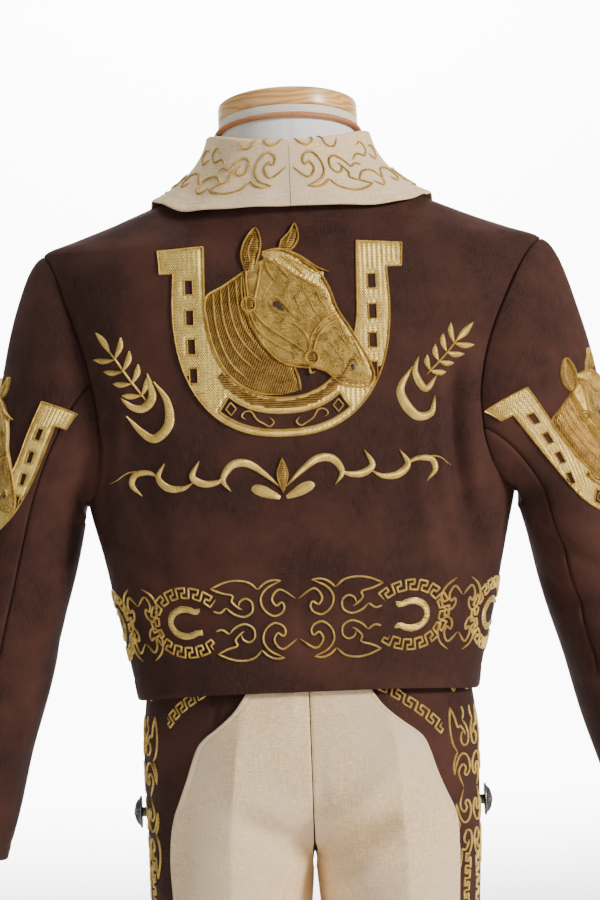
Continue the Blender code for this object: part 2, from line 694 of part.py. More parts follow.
FRONT_GAP = math.radians(1.0)
band_angles = spread(-math.pi / 2 + FRONT_GAP, math.pi * 1.5 - FRONT_GAP, 33)
band = [[hip_point(height, angle) for angle in band_angles] for height in (WAIST_TOP, WAIST_FOOT)]
band_normals = [[outward(hip_point, height, angle, Vector((0, 0, height))) for angle in band_angles]
                for height in (WAIST_TOP, WAIST_FOOT)]
wall("waistband", band, band_normals, TROUSER_CLOTH, BROWN, suit)


def turned(name, profile, sides, finish, parent):
    """Closed turned solid: profile rows of radius and height, from the bottom up."""
    mesh = bmesh.new()
    rings = []
    for radius, height in profile:
        rings.append([mesh.verts.new((radius * math.cos(2 * math.pi * i / sides),
                                      radius * math.sin(2 * math.pi * i / sides), height))
                      for i in range(sides)])
    for below, above in zip(rings, rings[1:]):
        for i in range(sides):
            mesh.faces.new((below[i], below[(i + 1) % sides], above[(i + 1) % sides], above[i]))
    mesh.faces.new(rings[0][::-1])
    mesh.faces.new(rings[-1])
    bmesh.ops.recalc_face_normals(mesh, faces=mesh.faces)
    return finished(name, mesh, finish, parent, sharp=35)


BUTTON_RADIUS = 0.0075
button = turned("waist_button", [(BUTTON_RADIUS, 0.0), (BUTTON_RADIUS, 0.0014), (BUTTON_RADIUS * 0.8, 0.0022)],
                20, HORN, suit)
button_height = (WAIST_TOP + WAIST_FOOT) / 2
button.location = level((-0.011, along(HIPS, button_height, 3) + 2 * LAY, button_height))
button.rotation_euler = (-math.pi / 2, 0, 0)

# ---- silver studs on short shanks down the outer seam of each leg ----
STUD_PROFILE = [(0.30, 0.0), (0.30, 0.30), (0.97, 0.34), (1.0, 0.42), (0.97, 0.50), (0.78, 0.72),
                (0.45, 0.92), (0.12, 1.0)]
for side, word in ((RIGHT, "right"), (LEFT, "left")):
    for number, height in enumerate(STUD_ROWS, 1):
        stud = turned(f"side_stud_{word}_{number}",
                      [(radius * STUD_RADIUS, rise * STUD_HEIGHT) for radius, rise in STUD_PROFILE],
                      12, SILVER, suit)
        seat = trouser_point(side, True, height, 0.0)
        stud.location = level((seat.x + side * LAY, 0, height))
        stud.rotation_euler = (0, side * math.pi / 2, 0)


# ---- dress form and its stand ----
SIDES = 32
form = bmesh.new()
form_rings = []
for height, middle, width, depth, square in FORM:
    bend = 2 / square
    form_rings.append([form.verts.new(level((width * power(math.cos(2 * math.pi * i / SIDES), bend),
                                             middle - depth * power(math.sin(2 * math.pi * i / SIDES), bend),
                                             height))) for i in range(SIDES)])
neck_top = Vector((0, NECK_FORWARD, NECK_TOP))


def neck_place(radius, angle, up):
    """A point on the leaning neck: radius, angle and distance up its axis from its top."""
    y = -radius * math.sin(angle)
    return level(neck_top + Vector((radius * math.cos(angle),
                                    y * math.cos(NECK_LEAN) + up * math.sin(NECK_LEAN),
                                    -y * math.sin(NECK_LEAN) + up * math.cos(NECK_LEAN))))


for up, radius in ((-0.026, NECK_RADIUS + 0.0022), (-0.016, NECK_RADIUS + 0.0008), (-0.0004, NECK_RADIUS)):
    form_rings.append([form.verts.new(neck_place(radius, 2 * math.pi * i / SIDES, up)) for i in range(SIDES)])
for below, above in zip(form_rings, form_rings[1:]):
    for i in range(SIDES):
        form.faces.new((below[i], below[(i + 1) % SIDES], above[(i + 1) % SIDES], above[i]))
form.faces.new(form_rings[0][::-1])
form.faces.new(form_rings[-1])
bmesh.ops.recalc_face_normals(form, faces=form.faces)
finished("form_body", form, WHITE, stand)


def neck_turned(name, profile, finish, closed=False):
    """Turned piece on the neck's axis: rows of radius and distance up from the neck's top."""
    mesh = bmesh.new()
    rings = [[mesh.verts.new(neck_place(radius, 2 * math.pi * i / SIDES, up)) for i in range(SIDES)]
             for radius, up in profile]
    pairs = list(zip(rings, rings[1:]))
    if closed:
        pairs.append((rings[-1], rings[0]))
    for below, above in pairs:
        for i in range(SIDES):
            mesh.faces.new((below[i], below[(i + 1) % SIDES], above[(i + 1) % SIDES], above[i]))
    if not closed:
        mesh.faces.new(rings[0][::-1])
        mesh.faces.new(rings[-1])
    bmesh.ops.recalc_face_normals(mesh, faces=mesh.faces)
    return finished(name, mesh, finish, stand, sharp=40)


neck_turned("form_neck_cap", [(NECK_RADIUS + 0.0010, 0.0), (NECK_RADIUS + 0.0016, 0.0010),
                              (NECK_RADIUS + 0.0016, CAP_HEIGHT - 0.0020),
                              (NECK_RADIUS + 0.0006, CAP_HEIGHT - 0.0005), (NECK_RADIUS - 0.0014, CAP_HEIGHT)],
            WOOD)
neck_turned("form_neck_band", [(NECK_RADIUS + 0.0005, -BAND_HEIGHT), (NECK_RADIUS + 0.0016, -BAND_HEIGHT),
                               (NECK_RADIUS + 0.0016, -0.0004), (NECK_RADIUS + 0.0005, -0.0004)],
            IVORY, closed=True)
CORD_SIDES = 6
cord_profile = []
for i in range(CORD_SIDES):
    turn = 2 * math.pi * i / CORD_SIDES
    cord_profile.append((NECK_RADIUS + 0.0010 + CORD_RADIUS * (1.02 + math.cos(turn)),
                         -BAND_HEIGHT - CORD_RADIUS - 0.0004 + CORD_RADIUS * math.sin(turn)))
neck_turned("form_neck_cord", cord_profile, TAN, closed=True)

turned("stand_base", [(BASE_RADIUS - 0.002, 0.0), (BASE_RADIUS, 0.002), (BASE_RADIUS, BASE_HEIGHT - 0.002),
                      (BASE_RADIUS - 0.002, BASE_HEIGHT)], 48, STEEL, stand)
socket = turned("stand_socket", [(SOCKET_RADIUS, 0.0), (SOCKET_RADIUS, 0.006), (SOCKET_RADIUS * 0.72, 0.010),
                                 (SOCKET_RADIUS * 0.72, SOCKET_HEIGHT)], 24, STEEL, stand)
socket.location = (ROD_X, 0, BASE_HEIGHT + SEAM)
rod_foot = BASE_HEIGHT + SOCKET_HEIGHT + 2 * SEAM
rod_top = BLADE + FORM[0][0] - SEAM
rod = turned("stand_rod", [(ROD_RADIUS, 0.0), (ROD_RADIUS, rod_top - rod_foot)], 20, STEEL, stand)
rod.location = (ROD_X, 0, rod_foot)
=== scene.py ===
"""Child's charro suit, short embroidered jacket and trousers, worn by a limbless dress form.

Built in the order in which the real thing is put together: the form on its stand, the trousers, their
side studs, the jacket body, the sleeves, the collar, the gold embroidery, and last the photo studio.
"""
import math
import bpy
import numpy as np
from mathutils import Matrix, Vector
from mathutils.geometry import delaunay_2d_cdt


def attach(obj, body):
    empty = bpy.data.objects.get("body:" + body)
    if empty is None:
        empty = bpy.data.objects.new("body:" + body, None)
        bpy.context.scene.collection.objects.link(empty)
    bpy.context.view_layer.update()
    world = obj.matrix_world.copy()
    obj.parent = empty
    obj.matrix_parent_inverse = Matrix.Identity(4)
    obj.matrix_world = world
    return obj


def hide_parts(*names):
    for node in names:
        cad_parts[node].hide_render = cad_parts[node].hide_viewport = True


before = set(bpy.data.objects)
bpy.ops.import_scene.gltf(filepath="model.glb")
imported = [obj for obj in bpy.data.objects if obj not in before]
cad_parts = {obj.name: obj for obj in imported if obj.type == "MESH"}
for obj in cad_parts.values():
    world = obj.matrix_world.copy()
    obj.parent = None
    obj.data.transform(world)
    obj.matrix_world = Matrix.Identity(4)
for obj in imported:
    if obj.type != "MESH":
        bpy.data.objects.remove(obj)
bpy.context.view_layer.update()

# ------------------------------------------------------------------ dress form
# A padded child's torso with no limbs, covered in white cotton, with a seam down the middle. It carries
# the suit: the neck leans forward and ends in a turned wooden cap with an ivory band and a tan cord.
BLADE = 0.840            # height of the shoulder blades above the floor; tables count from here
MM = 0.001


def clear_selection():
    """Nothing selected, so that the next operator acts on the new piece alone."""
    for thing in bpy.context.selected_objects:
        thing.select_set(False)


def settled(name, finish, slot, *nodes):
    """Names the active piece, bakes its place into its mesh, and gives it its finish and its body."""
    piece = bpy.context.object
    piece.name = name
    bpy.ops.object.transform_apply(location=True, rotation=True, scale=True)
    piece.data.materials.clear()
    piece.data.materials.append(finish)
    bpy.ops.object.shade_smooth_by_angle(angle=math.radians(38))
    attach(piece, "root")
    if nodes:
        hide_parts(*nodes)
    return piece


def new_finish(name, colour, roughness, metallic=0.0):
    made = bpy.data.materials.new(name)
    made.use_nodes = True
    shader = made.node_tree.nodes["Principled BSDF"]
    shader.inputs["Base Color"].default_value = (*colour, 1)
    shader.inputs["Roughness"].default_value = roughness
    shader.inputs["Metallic"].default_value = metallic
    return made, made.node_tree, shader


def add(tree, kind, inputs=None, **settings):
    """A shader node with its settings, and its inputs given as values or as other nodes' outputs."""
    made = tree.nodes.new(kind)
    for key, value in settings.items():
        setattr(made, key, value)
    for key, value in (inputs or {}).items():
        if isinstance(value, bpy.types.NodeSocket):
            tree.links.new(value, made.inputs[key])
        else:
            made.inputs[key].default_value = value
    return made


def blend_colour(tree, share, low, high):
    """Mix of two colours by a share, each a value or an output."""
    mix = add(tree, "ShaderNodeMix", data_type="RGBA")
    for place, value in ((0, share), (6, low), (7, high)):
        if isinstance(value, bpy.types.NodeSocket):
            tree.links.new(value, mix.inputs[place])
        else:
            mix.inputs[place].default_value = value if place == 0 else (*value, 1)
    return mix.outputs[2]


def new_group(name, takes, gives):
    """Empty node group with named inputs (name, kind, default) and outputs (name, kind)."""
    group = bpy.data.node_groups.new(name, "ShaderNodeTree")
    for label, kind, value in takes:
        socket = group.interface.new_socket(label, in_out="INPUT", socket_type=kind)
        socket.default_value = value
    for label, kind in gives:
        group.interface.new_socket(label, in_out="OUTPUT", socket_type=kind)
    return group, group.nodes.new("NodeGroupInput"), group.nodes.new("NodeGroupOutput")


# Woven cloth: warp and weft with slubs, and the uneven tone of a washed or brushed face.
weave, weave_in, weave_out = new_group(
    "woven_cloth",
    [("Threads", "NodeSocketFloat", 900.0), ("Slub", "NodeSocketFloat", 0.5),
     ("Blotch", "NodeSocketFloat", 18.0)],
    [("Height", "NodeSocketFloat"), ("Tone", "NodeSocketFloat"), ("Blotch", "NodeSocketFloat")])
cloth_uv = add(weave, "ShaderNodeUVMap", uv_map="cloth").outputs[0]
weave_parts = []
for stretch, turn in (((1.0, 0.09, 1.0), "X"), ((0.09, 1.0, 1.0), "Y")):
    bands = add(weave, "ShaderNodeTexWave", {"Vector": cloth_uv, "Scale": weave_in.outputs["Threads"],
                                             "Distortion": 1.2, "Detail": 1.0, "Detail Scale": 2.0},
                bands_direction=turn)
    shift = add(weave, "ShaderNodeMapping", {"Vector": cloth_uv, "Scale": stretch})
    slub = add(weave, "ShaderNodeTexNoise", {"Vector": shift.outputs[0], "Scale": 1400.0, "Detail": 3.0})
    weave_parts.append((bands.outputs["Fac"], slub.outputs["Fac"]))
thread_sum = add(weave, "ShaderNodeMath", {0: weave_parts[0][0], 1: weave_parts[1][0]}, operation="ADD")
slub_sum = add(weave, "ShaderNodeMath", {0: weave_parts[0][1], 1: weave_parts[1][1]}, operation="ADD")
slub_part = add(weave, "ShaderNodeMath", {0: slub_sum.outputs[0], 1: weave_in.outputs["Slub"]},
                operation="MULTIPLY")
height_sum = add(weave, "ShaderNodeMath", {0: thread_sum.outputs[0], 1: 0.25, 2: slub_part.outputs[0]},
                 operation="MULTIPLY_ADD")
solid_place = add(weave, "ShaderNodeTexCoord").outputs["Object"]
blotch = add(weave, "ShaderNodeTexNoise", {"Vector": solid_place, "Scale": weave_in.outputs["Blotch"],
                                           "Detail": 4.0, "Roughness": 0.6})
weave.links.new(height_sum.outputs[0], weave_out.inputs["Height"])
weave.links.new(slub_sum.outputs[0], weave_out.inputs["Tone"])
weave.links.new(blotch.outputs["Fac"], weave_out.inputs["Blotch"])


def cloth_finish(name, dark, light, blotch_colour, threads, slub, depth, sheen, rough=0.88):
    """A woven cloth: thread tone between two colours, blotches of a third, and thread relief."""
    made, tree, shader = new_finish(name, dark, rough)
    group = add(tree, "ShaderNodeGroup", node_tree=weave)
    group.inputs["Threads"].default_value = threads
    group.inputs["Slub"].default_value = slub
    tone = add(tree, "ShaderNodeMapRange", {"Value": group.outputs["Tone"], "From Min": 0.75,
                                            "From Max": 1.25})
    spots = add(tree, "ShaderNodeMapRange", {"Value": group.outputs["Blotch"], "From Min": 0.42,
                                             "From Max": 0.72})
    threads_colour = blend_colour(tree, tone.outputs[0], dark, light)
    tree.links.new(blend_colour(tree, spots.outputs[0], threads_colour, blotch_colour),
                   shader.inputs["Base Color"])
    bump = add(tree, "ShaderNodeBump", {"Height": group.outputs["Height"], "Strength": 0.55,
                                        "Distance": depth})
    tree.links.new(bump.outputs[0], shader.inputs["Normal"])
    shader.inputs["Sheen Weight"].default_value = sheen
    shader.inputs["Sheen Roughness"].default_value = 0.45
    shader.inputs["Sheen Tint"].default_value = (*light, 1)
    shader.inputs["Specular IOR Level"].default_value = 0.25
    return made


def curve(rows, column):
    """A table's column as a smooth function of its first column, never overshooting its rows."""
    rows = sorted(rows)
    x = np.array([row[0] for row in rows])
    y = np.array([row[column] for row in rows])
    rise = np.diff(y) / np.diff(x)
    lean = np.zeros(len(x))
    both = rise[:-1] * rise[1:]
    total = np.where(both > 0, rise[:-1] + rise[1:], 1.0)
    lean[1:-1] = np.where(both > 0, 2 * both / total, 0.0)
    lean[0], lean[-1] = rise[0], rise[-1]

    def at(place):
        place = np.clip(place, x[0], x[-1])
        k = np.clip(np.searchsorted(x, place, side="right") - 1, 0, len(x) - 2)
        step = x[k + 1] - x[k]
        p = (place - x[k]) / step
        return ((1 + 2 * p) * (1 - p) ** 2 * y[k] + p * (1 - p) ** 2 * step * lean[k]
                + p ** 2 * (3 - 2 * p) * y[k + 1] + p ** 2 * (p - 1) * step * lean[k + 1])

    return at


def power(value, exponent):
    return np.sign(value) * np.abs(value) ** exponent


def unit(vectors):
    return vectors / np.maximum(np.linalg.norm(vectors, axis=-1, keepdims=True), 1e-12)


def grid_normals(points, towards):
    """Normals of a grid of points, on the side that the given directions point to."""
    normal = unit(np.cross(np.gradient(points, axis=0), np.gradient(points, axis=1)))
    return normal * np.sign(np.sum(normal * towards, axis=-1, keepdims=True) + 1e-9)


def mesh_piece(name, points, faces, uv, finish, smooth=40):
    """Piece from points and faces, with one flat map in metres for its cloth or stitches."""
    data = bpy.data.meshes.new(name)
    data.from_pydata([tuple(point) for point in points], [], faces)
    layer = data.uv_layers.new(name="cloth")
    corners = np.empty(len(data.loops), dtype=np.int32)
    data.loops.foreach_get("vertex_index", corners)
    layer.data.foreach_set("uv", np.asarray(uv, dtype=np.float32)[corners].ravel())
    data.materials.append(finish)
    data.shade_smooth()
    data.set_sharp_from_angle(angle=math.radians(smooth))
    piece = bpy.data.objects.new(name, data)
    bpy.context.scene.collection.objects.link(piece)
    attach(piece, "root")
    return piece


FORM = [  # height, middle y, half width, depth, squareness
    (-0.238, 0.000, 0.0700, 0.0400, 2.2), (-0.236, 0.000, 0.0850, 0.0500, 2.2),
    (-0.222, -0.002, 0.0990, 0.0640, 2.2), (-0.190, -0.003, 0.1040, 0.0690, 2.2),
    (-0.150, -0.001, 0.1020, 0.0650, 2.2), (-0.110, 0.000, 0.0960, 0.0610, 2.2),
    (-0.080, 0.001, 0.0930, 0.0590, 2.2), (-0.040, 0.001, 0.1060, 0.0640, 2.2),
    (0.010, 0.000, 0.1200, 0.0700, 2.2), (0.060, -0.002, 0.1330, 0.0690, 2.2),
    (0.100, -0.004, 0.1400, 0.0600, 2.2), (0.122, -0.004, 0.1340, 0.0520, 2.1),
    (0.136, -0.003, 0.1120, 0.0475, 2.0), (0.148, -0.002, 0.0850, 0.0450, 2.0),
    (0.160, 0.000, 0.0640, 0.0440, 2.0), (0.174, 0.002, 0.0520, 0.0435, 2.0),
]
NECK_RADIUS = 0.0455
NECK_MIDDLE = Vector((0, 0.004, 0.2205 + BLADE))
NECK_LEAN = math.radians(12)
CAP_HEIGHT = 0.0125
BAND_HEIGHT = 0.0060
CORD_RADIUS = 0.0017

cover = cloth_finish("form_cover", (0.80, 0.79, 0.80), (0.90, 0.89, 0.89), (0.84, 0.83, 0.84), 700, 0.4,
                     0.0002, 0.1)
FORM_SIDES = 128
form_turn = np.linspace(0, 2 * math.pi, FORM_SIDES, endpoint=False)
form_rows = []
for height in np.concatenate([[-0.238, -0.2372, -0.236], np.linspace(-0.232, 0.174, 84)]):
    middle, width, depth, square = (float(curve(FORM, column)(height)) for column in (1, 2, 3, 4))
    form_rows.append(np.stack([width * power(np.cos(form_turn), 2 / square),
                               middle - depth * power(np.sin(form_turn), 2 / square),
                               np.full(FORM_SIDES, height)], -1))
for up, radius in ((-0.026, 0.0477), (-0.021, 0.0468), (-0.016, 0.0463), (-0.0082, 0.0459),
                   (-0.0004, NECK_RADIUS)):
    side = -radius * np.sin(form_turn)
    form_rows.append(np.stack([radius * np.cos(form_turn),
                               NECK_MIDDLE.y + side * math.cos(NECK_LEAN) + up * math.sin(NECK_LEAN),
                               NECK_MIDDLE.z - BLADE - side * math.sin(NECK_LEAN) + up * math.cos(NECK_LEAN)],
                               -1))
form_points = np.array(form_rows)
seam_groove = np.exp(-(np.minimum(abs(form_turn - 1.5 * math.pi),
                                  abs(form_turn - 0.5 * math.pi)) / 0.012) ** 2)
form_points[..., :2] *= (1 - 0.010 * seam_groove)[None, :, None]
form_count = len(form_rows)
form_faces = []
for r in range(form_count - 1):
    for c in range(FORM_SIDES):
        d = (c + 1) % FORM_SIDES
        form_faces.append((r * FORM_SIDES + d, r * FORM_SIDES + c, (r + 1) * FORM_SIDES + c,
                           (r + 1) * FORM_SIDES + d))
form_faces.append(tuple(range(FORM_SIDES)))
form_faces.append(tuple(range(form_count * FORM_SIDES - 1, (form_count - 1) * FORM_SIDES - 1, -1)))
form_flat = form_points.reshape(-1, 3).copy()
form_uv = np.stack([np.tile(form_turn * 0.08, form_count), form_flat[:, 2]], -1)
form_flat[:, 2] += BLADE
form_piece = mesh_piece("form_cover_body", form_flat, form_faces, form_uv, cover)
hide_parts("form_body")

# Turned wooden neck cap: pale pine, lacquered, with flowing grain across its face.
wood, wood_tree, wood_shader = new_finish("lacquered_pine", (0.74, 0.47, 0.20), 0.38)
wood_place = add(wood_tree, "ShaderNodeTexCoord").outputs["Object"]
wood_map = add(wood_tree, "ShaderNodeMapping", {"Vector": wood_place, "Scale": (0.35, 1.0, 2.6),
                                                "Rotation": (0.2, 0.5, 0.1)})
wood_rings = add(wood_tree, "ShaderNodeTexWave", {"Vector": wood_map.outputs[0], "Scale": 34.0,
                                                  "Distortion": 7.0,
                                                  "Detail": 3.0, "Detail Scale": 1.6}, wave_type="RINGS")
wood_pores = add(wood_tree, "ShaderNodeTexNoise", {"Vector": wood_map.outputs[0], "Scale": 420.0,
                                                   "Detail": 4.0})
wood_base = blend_colour(wood_tree, wood_rings.outputs["Fac"], (0.80, 0.47, 0.17), (0.58, 0.27, 0.07))
wood_pore_share = add(wood_tree, "ShaderNodeMapRange", {"Value": wood_pores.outputs["Fac"], "From Min": 0.5,
                                                        "From Max": 0.8, "To Max": 0.35})
wood_tree.links.new(blend_colour(wood_tree, wood_pore_share.outputs[0], wood_base, (0.50, 0.26, 0.09)),
                    wood_shader.inputs["Base Color"])
wood_bump = add(wood_tree, "ShaderNodeBump", {"Height": wood_pores.outputs["Fac"], "Strength": 0.15,
                                              "Distance": 0.0002})
wood_tree.links.new(wood_bump.outputs[0], wood_shader.inputs["Normal"])
wood_shader.inputs["Coat Weight"].default_value = 0.35
wood_shader.inputs["Coat Roughness"].default_value = 0.2

axis = Vector((0, math.sin(NECK_LEAN), math.cos(NECK_LEAN)))
clear_selection()
bpy.ops.mesh.primitive_cylinder_add(vertices=128, radius=NECK_RADIUS + 0.0016, depth=CAP_HEIGHT,
                                    location=NECK_MIDDLE + axis * CAP_HEIGHT / 2, rotation=(-NECK_LEAN, 0, 0))
bpy.ops.object.mode_set(mode="EDIT")
bpy.ops.mesh.select_all(action="SELECT")
bpy.ops.mesh.bevel(offset=0.0018, segments=4, affect="EDGES")
bpy.ops.object.mode_set(mode="OBJECT")
settled("neck_cap", wood, "pale_wood", "form_neck_cap")

# Ivory band: a stitched grosgrain ribbon round the top of the neck; below it a twisted tan cord.
ribbon, ribbon_tree, ribbon_shader = new_finish("ivory_ribbon", (0.78, 0.74, 0.60), 0.55)
ribbon_place = add(ribbon_tree, "ShaderNodeTexCoord").outputs["Object"]
ribbon_lines = add(ribbon_tree, "ShaderNodeTexWave", {"Vector": ribbon_place, "Scale": 260.0,
                                                      "Distortion": 0.5},
                   bands_direction="Z")
ribbon_tree.links.new(blend_colour(ribbon_tree, ribbon_lines.outputs["Fac"], (0.62, 0.55, 0.40),
                                   (0.86, 0.83, 0.72)),
                      ribbon_shader.inputs["Base Color"])
ribbon_bump = add(ribbon_tree, "ShaderNodeBump", {"Height": ribbon_lines.outputs["Fac"], "Strength": 0.4,
                                                  "Distance": 0.0003})
ribbon_tree.links.new(ribbon_bump.outputs[0], ribbon_shader.inputs["Normal"])
clear_selection()
bpy.ops.mesh.primitive_cylinder_add(vertices=128, radius=NECK_RADIUS + 0.0016, depth=BAND_HEIGHT - 0.0006,
                                    end_fill_type="NOTHING", location=NECK_MIDDLE - axis * BAND_HEIGHT / 2,
                                    rotation=(-NECK_LEAN, 0, 0))
band_wall = bpy.context.object.modifiers.new("wall", "SOLIDIFY")
band_wall.thickness = 0.0009
band_wall.offset = -1
bpy.ops.object.modifier_apply(modifier="wall")
settled("neck_band", ribbon, "ivory_band", "form_neck_band")

tan, tan_tree, tan_shader = new_finish("tan_cord", (0.42, 0.15, 0.04), 0.55)
tan_place = add(tan_tree, "ShaderNodeTexCoord").outputs["Object"]
tan_twist = add(tan_tree, "ShaderNodeTexNoise", {"Vector": tan_place, "Scale": 900.0, "Detail": 2.0})
tan_tree.links.new(blend_colour(tan_tree, tan_twist.outputs["Fac"], (0.25, 0.075, 0.02), (0.62, 0.27, 0.10)),
                   tan_shader.inputs["Base Color"])
TWISTS = 150
cord_around, cord_section = 900, 12
cord_points = []
for i in range(cord_around):
    turn = 2 * math.pi * i / cord_around
    for j in range(cord_section):
        spin = 2 * math.pi * j / cord_section
        reach = CORD_RADIUS * (0.90 + 0.16 * abs(math.cos(1.5 * (spin - TWISTS * turn / 3))))
        ring = NECK_RADIUS + 0.0010 + CORD_RADIUS + reach * math.cos(spin)
        cord_points.append(NECK_MIDDLE + axis * (reach * math.sin(spin) - BAND_HEIGHT - CORD_RADIUS - 0.0004)
                           + Vector((math.cos(turn), -math.sin(turn) * math.cos(NECK_LEAN),
                                     math.sin(turn) * math.sin(NECK_LEAN))) * ring)
cord_faces = []
for i in range(cord_around):
    for j in range(cord_section):
        a, b = i * cord_section, (i + 1) % cord_around * cord_section
        k = (j + 1) % cord_section
        cord_faces.append((a + j, a + k, b + k, b + j))
neck_cord = mesh_piece("neck_cord", cord_points, cord_faces, np.zeros((len(cord_points), 2)), tan,
                       80)
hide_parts("form_neck_cord")

# ------------------------------------------------------------------ stand
# A round plate of brushed steel with a rod that runs up the wearer's left leg into the form.
BASE_RADIUS = 0.150
BASE_HEIGHT = 0.008
ROD_X = -0.060
steel, steel_tree, steel_shader = new_finish("brushed_steel", (0.55, 0.55, 0.56), 0.34, 1.0)
steel_place = add(steel_tree, "ShaderNodeTexCoord").outputs["Object"]
steel_map = add(steel_tree, "ShaderNodeMapping", {"Vector": steel_place, "Scale": (1.0, 30.0, 1.0)})
steel_lines = add(steel_tree, "ShaderNodeTexNoise", {"Vector": steel_map.outputs[0], "Scale": 60.0,
                                                     "Detail": 4.0})
steel_rough = add(steel_tree, "ShaderNodeMapRange", {"Value": steel_lines.outputs["Fac"], "To Min": 0.26,
                                                     "To Max": 0.46})
steel_tree.links.new(steel_rough.outputs[0], steel_shader.inputs["Roughness"])
steel_tree.links.new(blend_colour(steel_tree, steel_lines.outputs["Fac"], (0.46, 0.46, 0.47),
                                  (0.66, 0.66, 0.67)),
                     steel_shader.inputs["Base Color"])


def steel_disc(name, radius, low, high, x, soft, segments, node):
    clear_selection()
    bpy.ops.mesh.primitive_cylinder_add(vertices=96, radius=radius, depth=high - low,
                                        location=(x, 0, (low + high) / 2))
    bpy.ops.object.mode_set(mode="EDIT")
    bpy.ops.mesh.select_all(action="SELECT")
    bpy.ops.mesh.bevel(offset=soft, segments=segments, affect="EDGES")
    bpy.ops.object.mode_set(mode="OBJECT")
    return settled(name, steel, "brushed_steel", node)


steel_disc("base_plate", BASE_RADIUS, 0.0, BASE_HEIGHT, 0.0, 0.0018, 3, "stand_base")
steel_disc("base_socket", 0.0165, BASE_HEIGHT + 0.0003, 0.040, ROD_X, 0.0030, 4, "stand_socket")
steel_disc("base_rod", 0.0080, 0.0404, BLADE - 0.2384, ROD_X, 0.0006, 2, "stand_rod")

# ------------------------------------------------------------------ trousers
# Two backs and two fronts of brown wool suiting, pressed with a crease down each leg, a waistband, a fly
# flap, and a cream linen riding patch over the seat of each back, topstitched all round its edge.
SEAM = 0.00018
LAY = 0.0006
TROUSER_CLOTH = 0.0015
PATCH_CLOTH = 0.0011
PATCH_LAY = 0.0010
HIPS = [  # height, half width, depth behind, depth in front, squareness
    (-0.070, 0.0985, 0.0650, 0.0650, 2.2), (-0.098, 0.0995, 0.0665, 0.0660, 2.2),
    (-0.125, 0.1045, 0.0705, 0.0680, 2.2), (-0.155, 0.1090, 0.0755, 0.0705, 2.2),
    (-0.180, 0.1115, 0.0800, 0.0720, 2.2), (-0.205, 0.1125, 0.0815, 0.0725, 2.2),
    (-0.235, 0.1120, 0.0810, 0.0725, 2.2), (-0.270, 0.1110, 0.0780, 0.0710, 2.2),
]
LEG = [  # height, middle of the leg, half width, depth behind, depth in front
    (-0.180, 0.0560, 0.0555, 0.0800, 0.0720), (-0.270, 0.0568, 0.0545, 0.0770, 0.0700),
    (-0.330, 0.0580, 0.0505, 0.0700, 0.0640), (-0.400, 0.0595, 0.0465, 0.0620, 0.0580),
    (-0.480, 0.0610, 0.0435, 0.0570, 0.0545), (-0.560, 0.0620, 0.0415, 0.0550, 0.0540),
    (-0.650, 0.0630, 0.0400, 0.0555, 0.0550), (-0.780, 0.0645, 0.0390, 0.0570, 0.0580),
]
PATCH = [  # seat patch outer edge: height, distance from the middle
    (-0.158, 0.0400), (-0.163, 0.0430), (-0.1715, 0.0490), (-0.1805, 0.0595), (-0.187, 0.0680),
    (-0.192, 0.0725), (-0.200, 0.0760), (-0.214, 0.0805), (-0.229, 0.0860), (-0.240, 0.0905),
    (-0.252, 0.0935), (-0.270, 0.0950), (-0.300, 0.0930), (-0.340, 0.0860), (-0.390, 0.0740),
    (-0.440, 0.0600), (-0.480, 0.0450),
]
CROTCH, FORK = -0.270, 0.080
SPLIT_TOP, SPLIT_FOOT = -0.185, -0.345
LEGS_PART = 0.012        # below the crotch the legs draw apart over this height
HIP = [curve(HIPS, column) for column in range(1, 5)]
LEGS = [curve(LEG, column) for column in range(1, 5)]

brown = cloth_finish("brown_suiting", (0.0180, 0.0058, 0.0040), (0.047, 0.0170, 0.0115),
                     (0.068, 0.0240, 0.0155),
                     900, 0.7, 0.00016, 0.16)
cream = cloth_finish("cream_linen", (0.66, 0.44, 0.22), (0.96, 0.74, 0.45), (0.72, 0.55, 0.38),
                     800, 0.8, 0.00026, 0.08)


